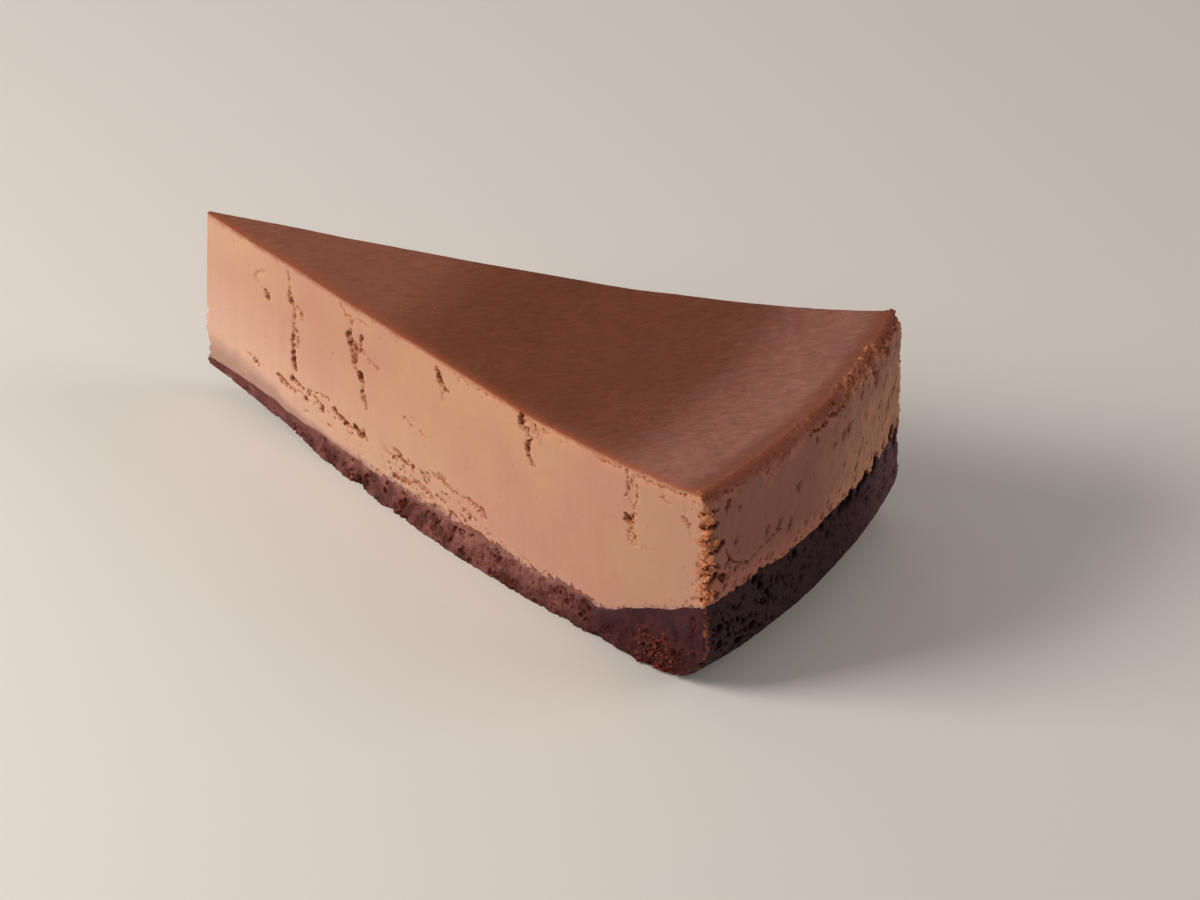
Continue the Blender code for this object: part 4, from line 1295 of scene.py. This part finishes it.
class StrewTree(NodeTree):
    """A Geometry Nodes tree that strews crumbs where a mark on the surface is high."""

    def __init__(self, name, mark):
        super().__init__(bpy.data.node_groups.new(name, "GeometryNodeTree"))
        self.inputs = {}
        face = self.tree.interface
        face.new_socket("Geometry", in_out="INPUT", socket_type="NodeSocketGeometry")
        for label, kind in (
            ("Crumbs a square metre", "NodeSocketFloat"),
            ("Smallest", "NodeSocketFloat"),
            ("Largest", "NodeSocketFloat"),
            ("Seed", "NodeSocketInt"),
            ("Material", "NodeSocketMaterial"),
        ):
            self.inputs[label] = face.new_socket(label, in_out="INPUT", socket_type=kind).identifier
        face.new_socket("Geometry", in_out="OUTPUT", socket_type="NodeSocketGeometry")
        given = self.add("NodeGroupInput")
        crumbs = self.roughened(self.spread(given, mark))
        dressed = self.add("GeometryNodeSetMaterial", {"Geometry": crumbs, "Material": given["Material"]})
        self.add("NodeGroupOutput", {"Geometry": dressed["Geometry"]})

    def vector(self, operation, takes):
        """The vector that one step of vector arithmetic gives."""
        return self.add("ShaderNodeVectorMath", takes, operation=operation)["Vector"]

    def moved(self, mesh, how, vector):
        """A mesh whose points go to a position, or by an offset."""
        return self.add("GeometryNodeSetPosition", {"Geometry": mesh, how: vector})["Geometry"]

    def crumb(self):
        """A small cube with its corners drawn in a little."""
        points = {f"Vertices {side}": CRUMB_POINTS for side in "XYZ"}
        cube = self.add("GeometryNodeMeshCube", points)["Mesh"]
        place = self.add("GeometryNodeInputPosition")["Position"]
        away = self.add("ShaderNodeVectorMath", {0: place}, operation="LENGTH")["Value"]
        share_left = self.add("ShaderNodeMapRange", {**CRUMB_CORNERS, "Value": away})["Result"]
        return self.moved(cube, "Position", self.vector("SCALE", {0: place, "Scale": share_left}))

    def spread(self, given, mark):
        """Crumbs of many sizes, shapes and turns on the surface, each with its own tone."""
        where = self.add("GeometryNodeInputNamedAttribute", {"Name": mark}, data_type="FLOAT")["Attribute"]
        amount = {0: where, 1: given["Crumbs a square metre"]}
        density = self.add("ShaderNodeMath", amount, operation="MULTIPLY")["Value"]
        seed = given["Seed"]
        takes = {"Mesh": given["Geometry"], "Density": density, "Seed": seed}
        points = self.add("GeometryNodeDistributePointsOnFaces", takes, distribute_method="RANDOM")["Points"]
        takes = {2: given["Smallest"], 3: given["Largest"], "Seed": seed}
        size = self.add("FunctionNodeRandomValue", takes, data_type="FLOAT")[1]
        takes = {0: CRUMB_FLATTEST, 1: CRUMB_FULLEST}
        squash = self.add("FunctionNodeRandomValue", takes, data_type="FLOAT_VECTOR")[0]
        takes = {1: (math.tau, math.tau, math.tau)}
        turn = self.add("FunctionNodeRandomValue", takes, data_type="FLOAT_VECTOR")[0]
        scale = self.vector("SCALE", {0: squash, "Scale": size})
        takes = {"Points": points, "Instance": self.crumb(), "Rotation": turn, "Scale": scale}
        crumbs = self.add("GeometryNodeInstanceOnPoints", takes)["Instances"]
        tone = self.add("FunctionNodeRandomValue", {"Seed": TONE_SEED}, data_type="FLOAT")[1]
        takes = {"Name": "tone", "Geometry": crumbs, "Value": tone}
        toned = self.add("GeometryNodeStoreNamedAttribute", takes, data_type="FLOAT", domain="INSTANCE")
        return self.add("GeometryNodeRealizeInstances", {"Geometry": toned["Geometry"]})["Geometry"]

    def roughened(self, crumbs):
        """Crumbs with uneven faces, and no point under the slice's base."""
        noise = self.add("ShaderNodeTexNoise", {"Scale": 1 / CRUMB_NOISE})["Color"]
        centred = self.vector("SUBTRACT", {0: noise, 1: (0.5, 0.5, 0.5)})
        shifted = self.moved(crumbs, "Offset", self.vector("SCALE", {0: centred, "Scale": CRUMB_SHIFT}))
        place = self.add("GeometryNodeInputPosition")["Position"]
        return self.moved(shifted, "Position", self.vector("MAXIMUM", {0: place, 1: (-1, -1, 0)}))


def strew(name, host, mark, material, amount, smallest, largest, seed):
    """A mesh of loose crumbs on a host's surface."""
    tree = StrewTree(name, mark)
    made = bpy.data.objects.new(name, host.data.copy())
    bpy.context.scene.collection.objects.link(made)
    modifier = made.modifiers.new("Strew", "NODES")
    modifier.node_group = tree.tree
    values = (amount, smallest, largest, seed, material)
    for identifier, value in zip(tree.inputs.values(), values):
        modifier[identifier] = value
    settle(made)
    bpy.data.node_groups.remove(tree.tree)
    made.data.shade_smooth()
    return made


def belongs(made, slot, *nodes):
    """The piece rides on the slice's one body and may stand for solids, which it hides. The slot is not used.
    """
    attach(made, "root")
    if nodes:
        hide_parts(*nodes)


def colour_property(name, description, default):
    """A colour, as linear values."""
    return FloatVectorProperty(
        name=name, description=description, default=default, subtype="COLOR", size=3, min=0, max=1
    )


def length_property(name, description, default, precision):
    """A length in metres."""
    return FloatProperty(
        name=name, description=description, default=default, precision=precision, unit="LENGTH"
    )


def angle_property(name, description, degrees):
    """An angle, which the panel shows in degrees."""
    return FloatProperty(
        name=name, description=description, default=math.radians(degrees), subtype="ANGLE", unit="ROTATION"
    )


def power_property(name, description, default):
    """The power of a light in watts."""
    return FloatProperty(name=name, description=description, default=default, unit="POWER")


class CheesecakeSizes(bpy.types.PropertyGroup):
    """Sizes of what the knife and the tin leave on the slice."""

    tearing: FloatProperty(
        name="Tearing",
        description="How deep the tears in the cuts go, as a share of the photographed slice's",
        default=1.0,
        min=0.0,
        max=1.5,
        subtype="FACTOR",
    )
    smallest_crumb: length_property("Smallest Crumb", "Width of the smallest loose crumb", 0.25 * MM, 5)
    largest_crumb: length_property("Largest Crumb", "Width of the largest loose crumb", 0.90 * MM, 5)
    crumbs: FloatProperty(
        name="Crumbs",
        description="How many crumbs cling where the slice crumbles most, for each square centimetre",
        default=110.0,
        min=0.0,
    )
    seed: IntProperty(name="Seed", description="Changes where the crumbs cling", default=7)


class CheesecakeColours(bpy.types.PropertyGroup):
    """Colours of the slice, as linear values."""

    cut: colour_property("Cut Filling", "Chocolate filling where the knife cut it", (0.495, 0.262, 0.172))
    cut_rosy: colour_property("Rosy Filling", "The rosier clouds in the cut", (0.476, 0.236, 0.170))
    cut_tan: colour_property("Tan Filling", "The yellower clouds in the cut", (0.503, 0.281, 0.167))
    cut_pale: colour_property("Pale Filling", "The paler cut, low down and at the tip", (0.63, 0.390, 0.288))
    skin: colour_property("Baked Skin", "Top that browned in the oven", (0.138, 0.036, 0.0145))
    edge: colour_property("Skin Edge", "The skin's cut edge", (0.33, 0.082, 0.030))
    # A paler ring of the skin inside the rim, as painted sheen
    ring: colour_property("Ring", "The skin's paler ring inside the rim", (0.262, 0.097, 0.068))
    lip: colour_property("Lip", "The skin where it rounds over into the wall", (0.225, 0.060, 0.030))
    wall: colour_property("Filling Wall", "Filling that stood against the tin", (0.235, 0.094, 0.070))
    wall_tan: colour_property("Tan Wall", "The yellower part of the wall", (0.450, 0.212, 0.136))
    crumb: colour_property("Crumbly Edge", "Broken filling at the edges", (0.52, 0.182, 0.076))
    crumb_bright: colour_property("Bright Crumb", "The palest loose crumbs of filling", (0.70, 0.34, 0.19))
    # The two tear tones are painted shade: the filling painted darker with a tear's depth
    shallow_tear_shade: colour_property("Shallow Tear", "Filling in the shallower tears", (0.37, 0.115, 0.042))
    torn: colour_property("Deep Tear", "The bottom of the deepest tears", (0.200, 0.030, 0.004))
    smear: colour_property("Smear", "Filling that the knife dragged over the cut", (0.355, 0.215, 0.168))
    crust: colour_property("Crumb Crust", "Pressed cocoa crumbs", (0.178, 0.072, 0.060))
    crust_crumb: colour_property("Crust Crumb", "Single cocoa crumbs", (0.17, 0.036, 0.019))
    crust_bright: colour_property("Bright Crust Crumb", "The palest loose cocoa crumbs", (0.34, 0.095, 0.042))
    crust_smear: colour_property("Crust Smear", "Crust that the knife dragged along", (0.165, 0.062, 0.056))
    # The crust's darkest crumbs, and the painted shade in its pores and crevices
    crust_dark_and_shade: colour_property("Dark Crust", "The crust's pits and darkest crumbs", (0.080, 0.0110, 0.0055))
    veil: colour_property("Veil", "Filling dragged thinly over the crust", (0.26, 0.122, 0.102))
    crust_wall: colour_property("Crust Wall", "Crust that stood against the tin", (0.044, 0.0205, 0.0240))


class CheesecakeStage(bpy.types.PropertyGroup):
    """The floor, the lights and the view."""

    azimuth: angle_property("Azimuth", "Turn of the view round the slice", 32.485)
    elevation: angle_property("Elevation", "How far above the floor the view looks down from", 35.616)
    distance: length_property("Distance", "From the camera to the slice", 0.9, 2)
    key: power_property("Key Light", "Power of the warm side light", 4.2)
    sheen: power_property("Sheen Light", "Power of the light that the skin shines in", 0.6)
    rim: power_property("Rim Light", "Power of the light on the wall", 5.6)
    surround: FloatProperty(name="Surround", description="Strength of the light from all round", default=0.25)
    floor: colour_property("Floor", "Plain pale floor", (0.72, 0.71, 0.69))


def lapped_height(radius, v):
    """Height of the filling's underside, which lies a little inside the crust."""
    return crust_height(radius, v) - LAYER_LAP


def add_layer(context, name, node, layer, marks, finish):
    """The piece that stands for one solid: a layer's fine mesh with its marks and its finish."""
    layer.solve()
    made = mesh_object(name, layer, marks(layer))
    thin_out(made, MOST_TRIANGLES)
    made.data.materials.append(finish(context.scene.cheesecake_colours))
    belongs(made, name, node)


class CHEESECAKE_OT_crust(bpy.types.Operator):
    """Makes the pressed cocoa crumb crust with its pores and broken foot"""

    bl_idname = "cheesecake.crust"
    bl_label = "Crumb Crust"

    def execute(self, context):
        layer = Layer(under_height, crust_height, CRUST_ROWS, context.scene.cheesecake_sizes.tearing)
        layer.shell(open_steps(UNDER_CELL), hidden_steps)
        add_layer(context, "crumb_crust", "crust", layer, crust_marks, crust_finish)
        return {"FINISHED"}


class CHEESECAKE_OT_filling(bpy.types.Operator):
    """Makes the chocolate filling with its torn cuts, browned wall and baked skin"""

    bl_idname = "cheesecake.filling"
    bl_label = "Chocolate Filling"

    def execute(self, context):
        layer = Layer(lapped_height, top_height, FILLING_ROWS, context.scene.cheesecake_sizes.tearing)
        layer.shell(hidden_steps, open_steps(TOP_CELL))
        add_layer(context, "chocolate_filling", "filling", layer, filling_marks, filling_finish)
        return {"FINISHED"}


class CHEESECAKE_OT_crumbs(bpy.types.Operator):
    """Strews loose crumbs where the crust and the filling's edges broke"""

    bl_idname = "cheesecake.crumbs"
    bl_label = "Loose Crumbs"

    def execute(self, context):
        sizes = context.scene.cheesecake_sizes
        colours = context.scene.cheesecake_colours
        each_metre = sizes.crumbs * 1e4
        small, large = sizes.smallest_crumb, sizes.largest_crumb
        for name, host, colour, bright, finer, seed in (
            ("crust_crumbs", "crumb_crust", colours.crust_crumb, colours.crust_bright, 0.62, sizes.seed),
            ("filling_crumbs", "chocolate_filling", colours.crumb, colours.crumb_bright, 1.0, sizes.seed + 1),
        ):
            finish = crumb_finish(name, colour, bright)
            surface = bpy.data.objects[host]
            made = strew(name, surface, "loose", finish, each_metre, small, large * finer, seed)
            if not made.data.polygons:
                raise RuntimeError(f"{name}: no crumbs were made")
            belongs(made, host)
        return {"FINISHED"}


class CHEESECAKE_OT_stage(bpy.types.Operator):
    """Sets the slice on a pale floor in soft studio light, with the camera at the photographed angle"""

    bl_idname = "cheesecake.stage"
    bl_label = "Stage"

    def execute(self, context):
        stage = context.scene.cheesecake_stage
        make_floor(stage)
        make_lights(context, stage)
        make_camera(context, stage)
        return {"FINISHED"}


def from_angles(azimuth, elevation, distance):
    """A place as seen from the slice: azimuth 0 lies towards -Y, and 90 degrees towards +X."""
    flat = math.cos(elevation) * distance
    return Vector((math.sin(azimuth) * flat, -math.cos(azimuth) * flat, math.sin(elevation) * distance))


def look_at(made, place, target):
    """Puts a light or the camera in its place, facing the target."""
    made.location = place
    made.rotation_euler = (target - place).to_track_quat("-Z", "Y").to_euler()


def make_floor(stage):
    """A wide round floor under the slice, hardly mottled."""
    mesh = bpy.data.meshes.new("floor")
    turns = [k * math.tau / FLOOR_CORNERS for k in range(FLOOR_CORNERS)]
    points = [(FLOOR_RADIUS * math.cos(turn), FLOOR_RADIUS * math.sin(turn), 0.0) for turn in turns]
    mesh.from_pydata(points, [], [tuple(range(FLOOR_CORNERS))])
    floor = bpy.data.objects.new("floor", mesh)
    bpy.context.scene.collection.objects.link(floor)
    finish = Finish("floor")
    mottled = finish.remap(finish.noise(0.4, 2), 0.3, 0.7, 0, 1)
    colour = finish.mix(mottled, stage.floor, darker(stage.floor, 0.97))
    relief = finish.bump(finish.noise(2 * MM, 2), 0.02 * MM)
    mesh.materials.append(finish.done(colour, ROUGH_FLOOR, relief))


def add_light(name, azimuth, elevation, distance, size, power, colour):
    """A soft square light that faces the slice."""
    light = bpy.data.lights.new(name, "AREA")
    light.size = size
    light.energy = power
    light.color = colour
    made = bpy.data.objects.new(name, light)
    bpy.context.scene.collection.objects.link(made)
    look_at(made, from_angles(math.radians(azimuth), math.radians(elevation), distance) + AIM, AIM)


def make_lights(context, stage):
    """Warm light from the side, light that the skin shines in, light on the wall, and a dim surround."""
    add_light("key", -46, 33, 0.66, 0.30, stage.key, (1.0, 0.92, 0.84))
    add_light("sheen", -138, 20, 1.4, 0.30, stage.sheen, (1.0, 0.74, 0.64))
    add_light("rim", 118, 28, 1.4, 0.8, stage.rim, (1.0, 0.90, 0.84))
    world = bpy.data.worlds.new("studio")
    world.use_nodes = True
    background = world.node_tree.nodes["Background"].inputs
    background["Color"].default_value = SURROUND_COLOUR
    background["Strength"].default_value = stage.surround
    context.scene.world = world
    context.scene.view_settings.view_transform = "Standard"


def make_camera(context, stage):
    """The camera at the photographed angle."""
    lens = bpy.data.cameras.new("camera")
    lens.lens = LENS_MM
    lens.sensor_width = SENSOR_MM
    lens.clip_start = 0.05
    camera = bpy.data.objects.new("camera", lens)
    context.scene.collection.objects.link(camera)
    look_at(camera, from_angles(stage.azimuth, stage.elevation, stage.distance) + AIM, AIM)
    context.scene.camera = camera


class CHEESECAKE_PT_panel(bpy.types.Panel):
    """Lists the slice's sizes, colours and steps"""

    bl_idname = "CHEESECAKE_PT_panel"
    bl_label = "Cheesecake Slice"
    bl_space_type = "VIEW_3D"
    bl_region_type = "UI"
    bl_category = "Cheesecake"

    def draw(self, context):
        scene = context.scene
        for title, group in (
            ("Sizes", scene.cheesecake_sizes),
            ("Colours", scene.cheesecake_colours),
            ("Stage", scene.cheesecake_stage),
        ):
            box = self.layout.box()
            box.label(text=title)
            for name in group.bl_rna.properties.keys():
                if name not in {"rna_type", "name"}:
                    box.prop(group, name)
        for step in STEPS:
            self.layout.operator(step.bl_idname)


STEPS = (CHEESECAKE_OT_crust, CHEESECAKE_OT_filling, CHEESECAKE_OT_crumbs, CHEESECAKE_OT_stage)
CLASSES = (CheesecakeSizes, CheesecakeColours, CheesecakeStage, *STEPS, CHEESECAKE_PT_panel)


def register():
    """Adds the add-on's classes and its settings on the scene."""
    for made in CLASSES:
        bpy.utils.register_class(made)
    bpy.types.Scene.cheesecake_sizes = PointerProperty(type=CheesecakeSizes)
    bpy.types.Scene.cheesecake_colours = PointerProperty(type=CheesecakeColours)
    bpy.types.Scene.cheesecake_stage = PointerProperty(type=CheesecakeStage)


def unregister():
    """Takes them away again."""
    del bpy.types.Scene.cheesecake_sizes
    del bpy.types.Scene.cheesecake_colours
    del bpy.types.Scene.cheesecake_stage
    for made in reversed(CLASSES):
        bpy.utils.unregister_class(made)


def main():
    """Makes every piece and the stage."""
    register()
    bpy.ops.cheesecake.crust()
    bpy.ops.cheesecake.filling()
    bpy.ops.cheesecake.crumbs()
    bpy.ops.cheesecake.stage()


if __name__ == "__main__":
    main()
